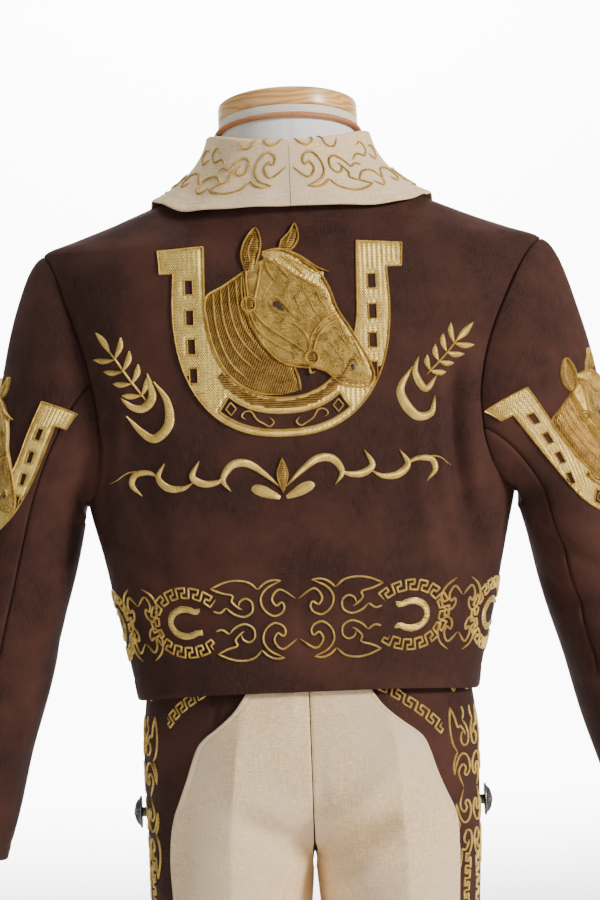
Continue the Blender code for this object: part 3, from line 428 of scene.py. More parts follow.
def sheet_piece(name, outer, normals, thick, finish, closed=False, last_edge=1.0):
    """A thin cloth shell: the outer grid, the inner grid a thickness below it, and rolled edges."""
    rows, columns = outer.shape[:2]
    soft = np.zeros((rows, columns))
    soft[[0, -1], :] = 0.38
    if not closed:
        soft[:, [0, -1]] = 0.38
        soft[:, -1] *= last_edge
    top = outer - normals * (soft * thick)[..., None]
    low = outer - normals * ((1 - soft) * thick)[..., None]
    across = np.cumsum(np.linalg.norm(np.diff(outer, axis=1, prepend=outer[:, :1]), axis=-1), axis=1)
    across -= across[:, columns // 2][:, None]
    down = np.cumsum(np.linalg.norm(np.diff(outer, axis=0, prepend=outer[:1]), axis=-1), axis=0)
    uv = np.stack([across, down], -1).reshape(-1, 2)
    count = rows * columns
    index = np.arange(count).reshape(rows, columns)
    if closed:
        index = np.hstack([index, index[:, :1]])
    quads = np.stack([index[:-1, :-1], index[:-1, 1:], index[1:, 1:], index[1:, :-1]], -1).reshape(-1, 4)
    a, b, d = outer.reshape(-1, 3)[quads[:, 0]], outer.reshape(-1, 3)[quads[:, 1]], outer.reshape(-1,
        3)[quads[:, 3]]
    facing = np.sum(np.cross(b - a, d - a) * normals.reshape(-1, 3)[quads[:, 0]])
    if facing < 0:
        quads = quads[:, ::-1]
    edges = [(index[0], facing < 0), (index[-1][::-1], facing < 0)]
    if not closed:
        edges += [(index[:, 0][::-1], facing < 0), (index[:, -1], facing < 0)]
    faces = [tuple(quad) for quad in quads.tolist()] + [tuple(quad[::-1]) for quad in (quads + count).tolist()]
    for line, turned in edges:
        for first, second in zip(line[:-1].tolist(), line[1:].tolist()):
            face = (first, first + count, second + count, second)
            faces.append(face[::-1] if turned else face)
    points = np.concatenate([top.reshape(-1, 3), low.reshape(-1, 3)])
    points[:, 2] += BLADE
    return mesh_piece(name, points, faces, np.concatenate([uv, uv]), finish)


def declare(outer, column=None):
    """Works out the cut of a sheet: its widest row, its longest or a given column, and its flat area, and keeps none of
    them.
    """
    across = np.linalg.norm(np.diff(outer, axis=1), axis=-1)
    down = np.linalg.norm(np.diff(outer, axis=0), axis=-1)
    width, length = float(across.sum(axis=1).max()), float(down.sum(axis=0).max() if column is None else down.sum(axis=0)[column])
    first = np.cross(outer[1:, :-1] - outer[:-1, :-1], outer[:-1, 1:] - outer[:-1, :-1])
    second = np.cross(outer[1:, :-1] - outer[1:, 1:], outer[:-1, 1:] - outer[1:, 1:])
    area = float(np.linalg.norm(first, axis=-1).sum() + np.linalg.norm(second, axis=-1).sum()) / 2
    area = min(area, width * length)


def with_edges(start, end, count, margin=0.0010, size=0.3):
    """Even steps with one more close to each end, so that a piece's edge can roll."""
    inner = np.linspace(0, 1, count)
    near = margin / size
    share = np.concatenate([[0, near], inner[1:-1], [1 - near, 1]])
    return start + (end - start) * share


def folds(across, height, table):
    """Soft troughs and ridges: from (across, height) to (across, height), half width, height of fold."""
    total = np.zeros(np.broadcast(across, height).shape)
    for x0, z0, x1, z1, wide, tall in table:
        run = np.array([x1 - x0, z1 - z0])
        size = float(np.hypot(*run))
        along_it = ((across - x0) * run[0] + (height - z0) * run[1]) / size ** 2
        beside = ((across - x0) * run[1] - (height - z0) * run[0]) / size
        bow = 0.06 * size * np.sin(math.pi * np.clip(along_it, 0, 1))
        reach = np.clip(1 - ((along_it - 0.5) / 0.62) ** 2, 0, 1) ** 1.5
        total += tall * reach * np.exp(-((beside - bow) / wide) ** 2)
    return total


def ripple(across, height, seed, size, amount):
    """Small uneven waviness of hanging cloth."""
    total = 0
    for turn in range(4):
        angle = seed * 1.7 + turn * 2.3
        wave = 2 * math.pi / (size * (1 + 0.45 * turn))
        total = total + np.sin(wave * (across * math.cos(angle) + height * math.sin(angle)) + seed * 3 + turn)
    return amount * total / 4


def trouser_places(behind, height, part):
    """Right trouser half, outside: part 0 at the side seam, 1 at the centre seam or the inseam."""
    rise = np.clip((height - CROTCH) / FORK, 0, 1)
    parting = np.sqrt(np.maximum(1 - (1 - rise) ** 2, 0))
    bend = 2 / HIP[3](height)
    quarter = part * math.pi / 2
    hip_x = HIP[0](height) * power(np.cos(quarter), bend)
    hip_y = HIP[1 if behind else 2](height) * power(np.sin(quarter), bend)
    leg_x = LEGS[0](height) + LEGS[1](height) * np.cos(part * math.pi)
    leg_y = LEGS[2 if behind else 3](height) * np.sin(part * math.pi)
    gradual = np.clip((height - SPLIT_FOOT) / (SPLIT_TOP - SPLIT_FOOT), 0, 1)
    gradual = gradual * gradual * (3 - 2 * gradual)
    whole = gradual * (1 - part ** 4) + parting * part ** 4
    joined = np.clip((height - CROTCH) / LEGS_PART + 1, 0, 1)
    gap = LEGS[0](height) - LEGS[1](height)
    x = hip_x * whole + leg_x * (1 - whole) - gap * (1 - parting) * joined * part ** 6
    y = hip_y * whole + leg_y * (1 - whole)
    return np.stack([np.maximum(x, 0), (-1 if behind else 1) * np.abs(y), height + 0 * part], -1)


# distance from the middle and height of both ends, half width, height of the fold
TROUSER_FOLDS = [
    (0.0020, -0.264, 0.0620, -0.238, 0.0060, -0.0080), (0.0100, -0.290, 0.0520, -0.268, 0.0080, 0.0030),
    (0.0040, -0.243, 0.0540, -0.214, 0.0110, 0.0072), (0.0020, -0.205, 0.0160, -0.262, 0.0060, -0.0022),
    (0.0120, -0.180, 0.0400, -0.190, 0.0110, 0.0012), (0.0860, -0.205, 0.1000, -0.262, 0.0060, 0.0016),
    (0.0980, -0.235, 0.1040, -0.330, 0.0060, -0.0018), (0.0240, -0.470, 0.0740, -0.448, 0.0090, -0.0026),
    (0.0300, -0.500, 0.0900, -0.478, 0.0080, 0.0022), (0.0400, -0.530, 0.1000, -0.520, 0.0100, -0.0020),
    (0.0625, -0.140, 0.0680, -0.188, 0.0013, -0.0014), (0.0300, -0.720, 0.0880, -0.742, 0.0100, -0.0022),
]
# distance from the middle and height of both ends of each leg's pressed crease behind, and its rise
PRESSED = {
    1: [(0.0480, -0.150, 0.0600, -0.262, 0.0078), (0.0595, -0.255, 0.0640, -0.860, 0.0064)],
    -1: [(0.0400, -0.150, 0.0560, -0.262, 0.0078), (0.0550, -0.250, 0.0640, -0.860, 0.0064)],
}


def pressed(across, height, side):
    """A pressed crease: two flat planes of cloth that meet in a crisp ridge."""
    total = np.zeros(np.broadcast(across, height).shape)
    for x0, z0, x1, z1, tall in PRESSED[side]:
        share = np.clip((height - z0) / (z1 - z0), -0.02, 1.02)
        fade = np.clip((0.02 + share) / 0.04, 0, 1) * np.clip((1.02 - share) / 0.04, 0, 1)
        away = np.abs(across - (x0 + (x1 - x0) * share))
        total = np.maximum(total, tall * fade * np.exp(-away / 0.020))
    return total * np.clip((-0.152 - height) / 0.040, 0, 1)


LEFT_FOLDS = [
    (0.0060, -0.272, 0.0480, -0.282, 0.0080, 0.0022), (0.0040, -0.260, 0.0540, -0.238, 0.0085, -0.0045),
    (0.0100, -0.236, 0.0480, -0.222, 0.0090, 0.0024),
    (0.0000, -0.158, 0.0300, -0.178, 0.0090, 0.0013), (0.0800, -0.190, 0.0960, -0.240, 0.0060, 0.0015),
    (0.0920, -0.240, 0.1000, -0.320, 0.0070, -0.0018), (0.0200, -0.455, 0.0780, -0.474, 0.0090, -0.0024),
    (0.0360, -0.490, 0.0860, -0.506, 0.0085, 0.0022), (0.0630, -0.140, 0.0640, -0.186, 0.0013, -0.0014),
    (0.0260, -0.715, 0.0900, -0.730, 0.0100, -0.0022),
]


def trouser_cloth(side, behind, height, part):
    """Trouser outside with its folds, and its normals, for a grid of heights and parts."""
    base = trouser_places(behind, height, part)
    out = np.stack([base[..., 0] - LEGS[0](height), base[..., 1], 0 * height], -1)
    upper = height > -0.20
    out[..., 0] = np.where(upper, base[..., 0], out[..., 0])
    normal = grid_normals(base, out)
    fade = np.clip(np.minimum(part, 1 - part) / 0.05, 0, 1)
    table = TROUSER_FOLDS if side > 0 else LEFT_FOLDS
    lift = folds(base[..., 0], height, table) + ripple(base[..., 0], height, side + 2 * behind, 0.075, 0.0011)
    lift = lift + pressed(base[..., 0], height, side)
    seam = -0.0005 * (np.exp(-(part / 0.006) ** 2) + np.clip(1 - 8 * abs(normal[..., 0]), 0, 1)
                      * np.exp(-((1 - part) / 0.006) ** 2))
    cloth = base + normal * (lift * fade + seam)[..., None]
    cloth[..., 0] = np.maximum(cloth[..., 0], 0)
    mirror = np.array([side, 1, 1])
    return cloth * mirror, normal * mirror


LEG_TOP, LEG_FOOT = -0.0980, -0.780
leg_heights = np.concatenate([np.linspace(LEG_TOP, -0.340, 110), np.linspace(-0.343, LEG_FOOT + 0.001, 120),
                              [LEG_FOOT]])
leg_parts = with_edges(0.0, 1.0, 74, 0.0008, 0.17)
leg_grid = np.meshgrid(leg_heights, leg_parts, indexing="ij")


trouser_surface = {}
for side, word in ((1, "right"), (-1, "left")):
    for behind, place in ((True, "back"), (False, "front")):
        outer, normal = trouser_cloth(side, behind, *leg_grid)
        trouser_surface[side, behind] = (outer, normal)
        name = f"{place}_panel_{word}_leg"
        piece = sheet_piece(name, outer, normal, TROUSER_CLOTH, brown,
                            last_edge=np.clip(1 - 8 * abs(normal[:, -1, 0]), 0, 1))
        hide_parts(f"trouser_{place}_{word}")
        declare(outer)

PATCH_GAP = 0.00028      # the patches' edges stay this far from the middle
PATCH_TOP, PATCH_FOOT = -0.158, -0.480
patch_heights = with_edges(PATCH_TOP, PATCH_FOOT, 130, 0.0008, 0.33)
patch_edge = curve(PATCH, 1)
patch_surface = {}
for side, word in ((1, "right"), (-1, "left")):
    probe = np.concatenate([np.linspace(0, 0.97, 180), np.linspace(0.9702, 1, 150)])
    wide_probe = np.meshgrid(patch_heights, probe, indexing="ij")
    reach, facing = trouser_cloth(1, True, *wide_probe)
    raised = reach[..., 0] + facing[..., 0] * (PATCH_LAY + PATCH_CLOTH)
    smooth_reach = trouser_places(True, *wide_probe)[..., 0]
    rows = []
    for k, height in enumerate(patch_heights):
        first = np.interp(-patch_edge(height), -smooth_reach[k], probe)
        close = np.nonzero((raised[k] < PATCH_GAP) & (probe > 0.8))[0]
        last = min(probe[close[0] - 1] if len(close) else 0.9995, 0.9995)
        rows.append((first, last))
    bounds = np.array(rows)
    bounds[:, 1] = np.minimum(bounds[:, 1], np.convolve(np.pad(bounds[:, 1], 3, "edge"), np.ones(7) / 7,
                                                        "valid"))
    parts = np.array([with_edges(first, last, 70, 0.0008, 0.10) for first, last in bounds])
    heights = np.repeat(patch_heights[:, None], parts.shape[1], axis=1)
    outer, normal = trouser_cloth(side, True, heights, parts)
    share = (parts - parts[:, :1]) / (parts[:, -1:] - parts[:, :1])
    width = np.linalg.norm(np.diff(outer, axis=1, prepend=outer[:, :1]), axis=-1).cumsum(axis=1)
    edge_near = np.minimum(width, np.minimum(PATCH_TOP - heights, heights - PATCH_FOOT) * 1.2)
    stitches = -0.00035 * np.exp(-((edge_near - 0.0040) / 0.0008) ** 2)
    stitches = stitches + 0.00030 * np.exp(-((edge_near - 0.0016) / 0.0014) ** 2)
    outer = outer + normal * (PATCH_LAY + PATCH_CLOTH + stitches)[..., None]
    outer[..., 0] = side * np.maximum(side * outer[..., 0], PATCH_GAP)
    patch_surface[side] = (outer, normal)
    piece = sheet_piece(f"riding_patch_{word}", outer, normal, PATCH_CLOTH, cream)
    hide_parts(f"seat_patch_{word}")
    declare(outer)

fly_heights = with_edges(-0.100, -0.195, 40, 0.0008, 0.095)
fly_width = 0.030 - 0.020 * np.maximum(0.0, (-0.150 - fly_heights) / 0.045) ** 2
fly_rows = []
for height, across in zip(fly_heights, fly_width):
    reach = trouser_places(False, np.full(len(probe), height), probe)[:, 0]
    fly_rows.append(with_edges(np.interp(-across, -reach, probe), 0.993, 20, 0.0008, 0.03))
fly_parts = np.array(fly_rows)
outer, normal = trouser_cloth(-1, False, np.repeat(fly_heights[:, None], fly_parts.shape[1], axis=1),
                              fly_parts)
outer = outer + normal * (LAY + PATCH_CLOTH)
outer[..., 0] = -np.maximum(-outer[..., 0], SEAM)
fly = sheet_piece("fly_cover", outer, normal, PATCH_CLOTH, brown)
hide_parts("fly_flap")
declare(outer)


def hip_places(height, angle):
    depth = np.where(np.sin(angle) >= 0, HIP[1](height), HIP[2](height))
    bend = 2 / HIP[3](height)
    return np.stack([(HIP[0](height) + SEAM) * power(np.cos(angle), bend),
                     -depth * power(np.sin(angle), bend),
                     height + 0 * angle], -1)


FRONT_SLIT = 0.0012      # half of the slit where the band's ends meet, as an angle
band_turn = with_edges(-math.pi / 2 + FRONT_SLIT, math.pi * 1.5 - FRONT_SLIT, 240, 0.001, 0.55)
band_heights = with_edges(-0.070, -0.0975, 14, 0.0008, 0.0275)
band_grid = np.meshgrid(band_heights, band_turn, indexing="ij")
outer = hip_places(*band_grid)
normal = grid_normals(outer, outer * np.array([1, 1, 0]))
groove = -0.0003 * (np.exp(-((band_grid[0] + 0.0730) / 0.0007) ** 2) + np.exp(-((band_grid[0] + 0.0945) / 0.0007) ** 2))
outer = outer + normal * groove[..., None]
waist = sheet_piece("trouser_waistband", outer, normal, TROUSER_CLOTH, brown)
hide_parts("waistband")
declare(outer)

# Horn waist button with four holes and a sunk middle.
horn, horn_tree, horn_shader = new_finish("horn", (0.06, 0.03, 0.02), 0.32)
horn_place = add(horn_tree, "ShaderNodeTexCoord").outputs["Object"]
horn_streaks = add(horn_tree, "ShaderNodeTexNoise", {"Vector": horn_place, "Scale": 420.0, "Detail": 4.0})
horn_tree.links.new(blend_colour(horn_tree, horn_streaks.outputs["Fac"], (0.02, 0.010, 0.006),
                                 (0.13, 0.060, 0.030)),
                    horn_shader.inputs["Base Color"])
button_height = -0.08375
button_y = float(HIP[2](button_height)) + 2 * LAY
clear_selection()
bpy.ops.mesh.primitive_cylinder_add(vertices=48, radius=0.0075, depth=0.0022,
                                    location=(-0.011, button_y + 0.0011, BLADE + button_height),
                                    rotation=(math.pi / 2, 0, 0))
bpy.ops.object.mode_set(mode="EDIT")
bpy.ops.mesh.select_all(action="SELECT")
bpy.ops.mesh.bevel(offset=0.0006, segments=3, affect="EDGES")
bpy.ops.object.mode_set(mode="OBJECT")
waist_button = bpy.context.object
for hole_x, hole_z in ((-1, -1), (-1, 1), (1, -1), (1, 1)):
    bpy.ops.mesh.primitive_cylinder_add(vertices=16, radius=0.0007, depth=0.010,
                                        location=(-0.011 + 0.0013 * hole_x, button_y, BLADE + button_height
                                                  + 0.0013 * hole_z), rotation=(math.pi / 2, 0, 0))
    drill = bpy.context.object
    cut = waist_button.modifiers.new("hole", "BOOLEAN")
    cut.operation = "DIFFERENCE"
    cut.object = drill
    bpy.context.view_layer.objects.active = waist_button
    bpy.ops.object.modifier_apply(modifier="hole")
    bpy.data.objects.remove(drill)
clear_selection()
waist_button.select_set(True)
settled("trouser_button", horn, "horn_button", "waist_button")

# ------------------------------------------------------------------ side studs
# Six domed conchos of blackened silver down the outside of each leg, fluted like a flower, with a beaded
# rim, each on a short shank that is sewn through the outer seam.
STUD_ROWS = (-0.240, -0.330, -0.420, -0.510, -0.600, -0.690)
STUD_RADIUS = 0.0110
STUD_HEIGHT = 0.0085
STUD_STEPS = 120
STUD_FLUTES = 20
STUD_PROFILE = [  # shares of the radius and of the height, from the shank's foot to the crown
    (0.0, 0.0), (0.28, 0.0), (0.30, 0.02), (0.30, 0.29), (0.36, 0.32), (0.90, 0.335), (0.965, 0.36),
    (1.0, 0.42),
    (0.975, 0.48), (0.93, 0.495), (0.895, 0.480), (0.860, 0.500), (0.80, 0.63), (0.70, 0.745), (0.58, 0.83),
    (0.44, 0.895), (0.32, 0.935), (0.265, 0.925), (0.23, 0.965), (0.17, 0.99), (0.09, 1.0), (0.0, 1.0),
]
silver, silver_tree, silver_shader = new_finish("blackened_silver", (0.2, 0.19, 0.18), 0.36, 0.9)
silver_plan = add(silver_tree, "ShaderNodeUVMap", uv_map="cloth")
silver_place = add(silver_tree, "ShaderNodeTexCoord").outputs["Object"]
silver_rings = add(silver_tree, "ShaderNodeTexWave", {"Vector": silver_plan.outputs[0], "Scale": 0.55,
                                                     "Distortion": 0.6, "Detail": 2.0}, bands_direction="Y")
silver_marks = add(silver_tree, "ShaderNodeTexNoise", {"Vector": silver_place, "Scale": 900.0, "Detail": 5.0})
silver_share = add(silver_tree, "ShaderNodeMath", {0: silver_rings.outputs["Fac"],
                                                   1: silver_marks.outputs["Fac"]},
                   operation="MULTIPLY")
silver_tree.links.new(blend_colour(silver_tree, silver_share.outputs[0], (0.012, 0.011, 0.012),
                                   (0.50, 0.47, 0.43)), silver_shader.inputs["Base Color"])
silver_bump = add(silver_tree, "ShaderNodeBump", {"Height": silver_share.outputs[0], "Strength": 0.5,
                                                  "Distance": 0.0003})
silver_tree.links.new(silver_bump.outputs[0], silver_shader.inputs["Normal"])


def silver_stud(name, side, height):
    """Turns the profile round its axis, presses the flutes and the beads into it, and sets it on the seam."""
    clear_selection()
    data = bpy.data.meshes.new(name)
    data.from_pydata([(radius * STUD_RADIUS, 0, rise * STUD_HEIGHT) for radius, rise in STUD_PROFILE],
                     [(k, k + 1) for k in range(len(STUD_PROFILE) - 1)], [])
    stud = bpy.data.objects.new(name, data)
    bpy.context.scene.collection.objects.link(stud)
    bpy.context.view_layer.objects.active = stud
    stud.select_set(True)
    turned = stud.modifiers.new("turned", "SCREW")
    turned.steps = turned.render_steps = STUD_STEPS
    turned.use_merge_vertices = True
    turned.merge_threshold = 1e-6
    bpy.ops.object.modifier_apply(modifier="turned")
    bpy.ops.object.mode_set(mode="EDIT")
    bpy.ops.mesh.select_all(action="SELECT")
    bpy.ops.mesh.remove_doubles(threshold=1e-6)
    bpy.ops.mesh.normals_make_consistent(inside=False)
    bpy.ops.object.mode_set(mode="OBJECT")
    plan = stud.data.uv_layers.new(name="cloth")
    for loop in stud.data.loops:
        place = stud.data.vertices[loop.vertex_index].co
        turn = math.atan2(place.y, place.x) / (2 * math.pi)
        plan.data[loop.index].uv = (turn * STUD_FLUTES, math.hypot(place.x, place.y) / STUD_RADIUS * 9)
    for vertex in stud.data.vertices:
        place = vertex.co
        share = math.hypot(place.x, place.y) / STUD_RADIUS
        turn = math.atan2(place.y, place.x)
        if place.z > 0.49 * STUD_HEIGHT and share < 0.87:
            hollow = max(0.0, math.sin(math.pi * min(max((share - 0.30) / 0.56, 0.0), 1.0)))
            place.z -= 0.00075 * hollow * abs(math.sin(turn * STUD_FLUTES / 2))
        elif share > 0.91:
            place.z += 0.00022 * math.cos(turn * STUD_FLUTES * 2)
    stud.rotation_euler = (0, side * math.pi / 2, 0)
    seat = trouser_places(True, height, np.zeros(1))[0]
    stud.location = (side * (seat[0] + SEAM + LAY), 0, BLADE + height)
    return stud


for side, word in ((1, "right"), (-1, "left")):
    for number, height in enumerate(STUD_ROWS, 1):
        silver_stud("stud", side, height)
        settled(f"silver_concho_{word}_{number}", silver, "dark_silver", f"side_stud_{word}_{number}")


# ------------------------------------------------------------------ jacket body
# One back and two fronts of the same brown suiting, seamed at the sides and shoulders, hem turned up and
# stitched. The back has two small darts above the waist and soft folds where it hangs from the shoulders.
JACKET_CLOTH = 0.0020
JACKET_SLIP = 0.007
JACKET = [  # height, half width, depth behind, depth in front, squareness
    (-0.166, 0.1145, 0.0840, 0.0830, 2.35), (-0.136, 0.1205, 0.0825, 0.0830, 2.35),
    (-0.110, 0.1265, 0.0815, 0.0835, 2.30), (-0.080, 0.1330, 0.0810, 0.0845, 2.30),
    (-0.031, 0.1440, 0.0830, 0.0860, 2.30), (0.010, 0.1490, 0.0855, 0.0850, 2.30),
    (0.048, 0.1540, 0.0855, 0.0820, 2.30), (0.085, 0.1610, 0.0820, 0.0760, 2.30),
    (0.112, 0.1670, 0.0755, 0.0680, 2.20), (0.1365, 0.1670, 0.0650, 0.0570, 2.10),
    (0.1455, 0.1450, 0.0610, 0.0530, 2.05), (0.153, 0.1250, 0.0585, 0.0505, 2.00),
    (0.160, 0.1075, 0.0565, 0.0490, 2.00), (0.168, 0.0880, 0.0550, 0.0480, 2.00),
    (0.176, 0.0720, 0.0540, 0.0475, 2.00), (0.184, 0.0610, 0.0530, 0.0470, 2.00),
]
ARMHOLE = [  # height, distance from the middle
    (0.1365, 0.1670), (0.132, 0.1625), (0.122, 0.1560), (0.105, 0.1490), (0.086, 0.1410),
    (0.067, 0.1345), (0.048, 0.1300), (0.029, 0.1275), (0.010, 0.1275), (-0.007, 0.1300),
    (-0.019, 0.1345), (-0.027, 0.1395), (-0.031, 0.1440),
]
OPENING = [  # front opening edge: height, distance from the middle
    (0.184, 0.0500), (0.160, 0.0460), (0.1365, 0.0410), (0.105, 0.0340), (0.067, 0.0265),
    (0.029, 0.0195), (-0.007, 0.0145), (-0.045, 0.0115), (-0.085, 0.0110), (-0.136, 0.0150),
    (-0.166, 0.0220),
]
NECK_HEIGHT, SHOULDER_POINT, UNDERARM, HEM = 0.184, 0.1365, -0.031, -0.158
HEM_DIP = 0.006
BODY = [curve(JACKET, column) for column in range(1, 5)]
ARMHOLE_EDGE = curve(ARMHOLE, 1)
OPENING_EDGE = curve(OPENING, 1)


def jacket_places(height, angle):
    """Jacket outside: angle 0 on the wearer's right side, a quarter turn at the centre back."""
    depth = np.where(np.sin(angle) >= 0, BODY[1](height), BODY[2](height))
    bend = 2 / BODY[3](height)
    return np.stack([BODY[0](height) * power(np.cos(angle), bend), -depth * power(np.sin(angle), bend),
                     height + 0 * angle], -1)


def jacket_angle(height, across):
    share = np.clip(across / BODY[0](height), -1, 1)
    return np.arccos(power(share, BODY[3](height) / 2))


def slip(height):
    share = np.clip((height - UNDERARM) / (SHOULDER_POINT - UNDERARM), 0, 1)
    return JACKET_SLIP * np.sin(math.pi * share) ** 0.7


def armhole_angle(side, behind, height):
    across = ARMHOLE_EDGE(height) - (side * slip(height) if behind else 0)
    angle = np.maximum(jacket_angle(height, across), 0.004)
    angle = angle if behind else -angle
    return angle if side > 0 else math.pi - angle


BACK_FOLDS = [
    (0.106, 0.070, 0.122, -0.080, 0.0066, -0.0088), (0.094, 0.050, 0.108, -0.084, 0.0060, 0.0034),
    (0.080, 0.030, 0.098, -0.112, 0.0078, 0.0034), (0.122, -0.024, 0.092, -0.076, 0.0060, -0.0030),
    (0.134, -0.018, 0.108, -0.100, 0.0060, -0.0026), (0.104, -0.020, 0.086, -0.130, 0.0075, -0.0022),
    (-0.124, 0.030, -0.131, -0.074, 0.0058, -0.0044), (-0.110, 0.056, -0.117, -0.066, 0.0070, 0.0028),
    (-0.137, -0.034, -0.100, -0.070, 0.0060, -0.0030), (-0.096, 0.010, -0.090, -0.100, 0.0085, -0.0022),
    (0.004, -0.036, 0.006, -0.158, 0.0160, -0.0014), (-0.040, -0.030, -0.060, -0.150, 0.0150, 0.0012),
    (0.046, -0.030, 0.056, -0.150, 0.0150, 0.0013), (-0.155, 0.120, -0.070, 0.152, 0.0075, 0.0017),
    (-0.150, 0.106, -0.080, 0.132, 0.0080, -0.0014), (0.155, 0.118, 0.076, 0.150, 0.0075, 0.0020),
    (0.148, 0.104, 0.078, 0.134, 0.0080, -0.0018), (-0.116, 0.094, -0.104, 0.020, 0.0080, 0.0016),
    (0.118, 0.098, 0.100, 0.040, 0.0080, 0.0016), (-0.070, -0.148, -0.040, -0.166, 0.0070, 0.0010),
]
FRONT_FOLDS = [
    (0.060, 0.090, 0.096, -0.060, 0.0075, -0.0034), (0.084, 0.050, 0.108, -0.080, 0.0070, 0.0028),
    (0.118, -0.030, 0.070, -0.078, 0.0070, -0.0030), (0.126, -0.050, 0.088, -0.110, 0.0070, 0.0022),
    (0.040, -0.060, 0.046, -0.160, 0.0090, -0.0020), (0.150, 0.110, 0.110, 0.060, 0.0070, -0.0024),
]


def jacket_lift(behind, place):
    """Height of the cloth's folds and stitching over the smooth jacket."""
    across, height = place[..., 0], place[..., 2]
    side = 1 if behind else np.sign(across + 1e-9)
    lift = folds(across * side, height, BACK_FOLDS if behind else FRONT_FOLDS)
    lift = lift + ripple(across, height, 3.1 if behind else 5.3, 0.090, 0.0012)
    return lift


def jacket_cloth(behind, height, angle):
    base = jacket_places(height, angle)
    normal = grid_normals(base, base * np.array([1, 1, 0]) + np.array([0, 0, 1e-4]))
    lift = jacket_lift(behind, base)
    hem_near = height - HEM
    lift = lift - 0.00045 * np.exp(-((hem_near - 0.0095) / 0.0009) ** 2)
    lift = lift + 0.0005 * np.clip(1 - hem_near / 0.010, 0, 1)
    if behind:
        lift = lift - 0.0007 * np.exp(-((base[..., 0] + 0.003) / 0.0012) ** 2) * (height < 0.170)
    return base + normal * lift[..., None], normal


def edge_fade(points, normal, columns=3):
    """Turns the seam edges of a panel in slightly, so that a seam reads as a fine groove."""
    drop = np.zeros(points.shape[1])
    for k, depth in enumerate((0.00085, 0.00060, 0.00022)[:columns]):
        drop[k] = drop[-1 - k] = depth
    return points - normal * drop[None, :, None]


body_heights = np.concatenate([np.linspace(NECK_HEIGHT, SHOULDER_POINT + 0.0006, 26),
                               SHOULDER_POINT - (SHOULDER_POINT - UNDERARM)
                               * (1 - np.cos(np.linspace(0, math.pi, 72))) / 2,
                               np.linspace(UNDERARM - 0.002, HEM + 0.001, 58), [HEM]])
hem_reach = np.clip((-0.045 - body_heights) / 0.113, 0, 1)


def seam_edge(height, side, behind):
    inside = (height < SHOULDER_POINT - 1e-5) & (height > UNDERARM + 1e-5)
    seam = (SEAM / BODY[1 if behind else 2](height)) ** (BODY[3](height) / 2)
    seam = seam if behind else -seam
    seam = seam if side > 0 else math.pi - seam
    return np.where(inside, armhole_angle(side, behind, height), seam)


def body_piece(name, behind, sides, columns, node):
    first = seam_edge(body_heights, sides[0], behind)
    if behind:
        last = seam_edge(body_heights, sides[1], behind)
    else:
        share = OPENING_EDGE(body_heights) / BODY[0](body_heights)
        last = -np.arccos(power(share, BODY[3](body_heights) / 2))
        if sides[0] < 0:
            first = first - 2 * math.pi
            last = -math.pi - last
    steps = with_edges(0, 1, columns, 0.0010, 0.36 if behind else 0.17)
    angle = first[:, None] + (last - first)[:, None] * steps[None, :]
    height = body_heights[:, None] - HEM_DIP * hem_reach[:, None] * np.abs(np.cos(angle)) ** 3
    outer, normal = jacket_cloth(behind, height, angle)
    outer = edge_fade(outer, normal)
    piece = sheet_piece(name, outer, normal, JACKET_CLOTH, brown)
    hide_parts(node)
    return piece, outer


back_piece, back_grid = body_piece("back_body", True, (1, -1), 150, "jacket_back")
declare(back_grid, back_grid.shape[1] // 2)
for side, word in ((1, "right"), (-1, "left")):
    piece, grid = body_piece(f"front_body_{word}", False, (side, side), 76, f"jacket_front_{word}")
    declare(grid, grid.shape[1] // 2)

# ------------------------------------------------------------------ sleeves
# Two-piece sleeves of the suiting, gathered slightly into the armhole and creased at the elbow. The upper
# piece runs over the outer arm and the under piece below the arm; their seams run down front and back.
SLEEVE = [  # length along the arm, half width, half depth, forward swing
    (0.000, 0.0370, 0.0500, 0.000), (0.040, 0.0372, 0.0475, 0.001), (0.085, 0.0368, 0.0455, 0.004),
    (0.130, 0.0352, 0.0430, 0.009), (0.180, 0.0332, 0.0405, 0.016), (0.235, 0.0312, 0.0380, 0.026),
]
ARM = [curve(SLEEVE, column) for column in range(1, 4)]
ARM_TILT = math.radians(14.5)
ARM_X, ARM_Z, ARM_LENGTH = 0.1815, -0.036, 0.235


def arm_places(side, length, angle):
    inside = np.maximum(length, 0)
    out = ARM[0](inside) * np.cos(angle)
    deep = ARM[1](inside) * np.sin(angle)
    return np.stack([side * (ARM_X + math.sin(ARM_TILT) * length + out * math.cos(ARM_TILT)),
                     ARM[2](inside) - deep,
                     ARM_Z - math.cos(ARM_TILT) * length + out * math.sin(ARM_TILT)], -1)


def armhole_loop(side, count=400):
    """The armhole all round, raised a little over the body: points, angles and the way to the body."""
    sweep = (1 - np.cos(np.linspace(0, math.pi, count))) / 2
    heights = SHOULDER_POINT + (UNDERARM - SHOULDER_POINT) * sweep
    halves, inward, normals, run = [], [], [], []
    for behind in (True, False):
        angle = armhole_angle(side, behind, heights)
        place = jacket_places(heights, angle)
        to_middle = math.pi / 2 - angle if behind else (-math.pi / 2 if side > 0 else math.pi * 1.5) - angle
        nudged = jacket_places(heights, angle + np.sign(to_middle) * 0.05)
        beside = jacket_places(heights - 1e-4, angle)
        inner = unit(nudged - place)
        normal = np.cross(beside - place, nudged - place)
        normal = unit(normal * np.sign(np.sum(normal * place * np.array([1, 1, 0]), axis=-1, keepdims=True)))
        place[[0, -1], 1] = 0
        halves.append(place + normal * 0.0007)
        inward.append(inner)
        normals.append(normal)
        step = np.linalg.norm(np.diff(place, axis=0, prepend=place[:1]), axis=-1).cumsum()
        run.append(step / step[-1])
    angle = np.concatenate([math.pi * run[0], 2 * math.pi - math.pi * run[1][::-1][1:]])
    return [angle] + [np.concatenate([part[0], part[1][::-1][1:]]) for part in (halves, inward, normals)]


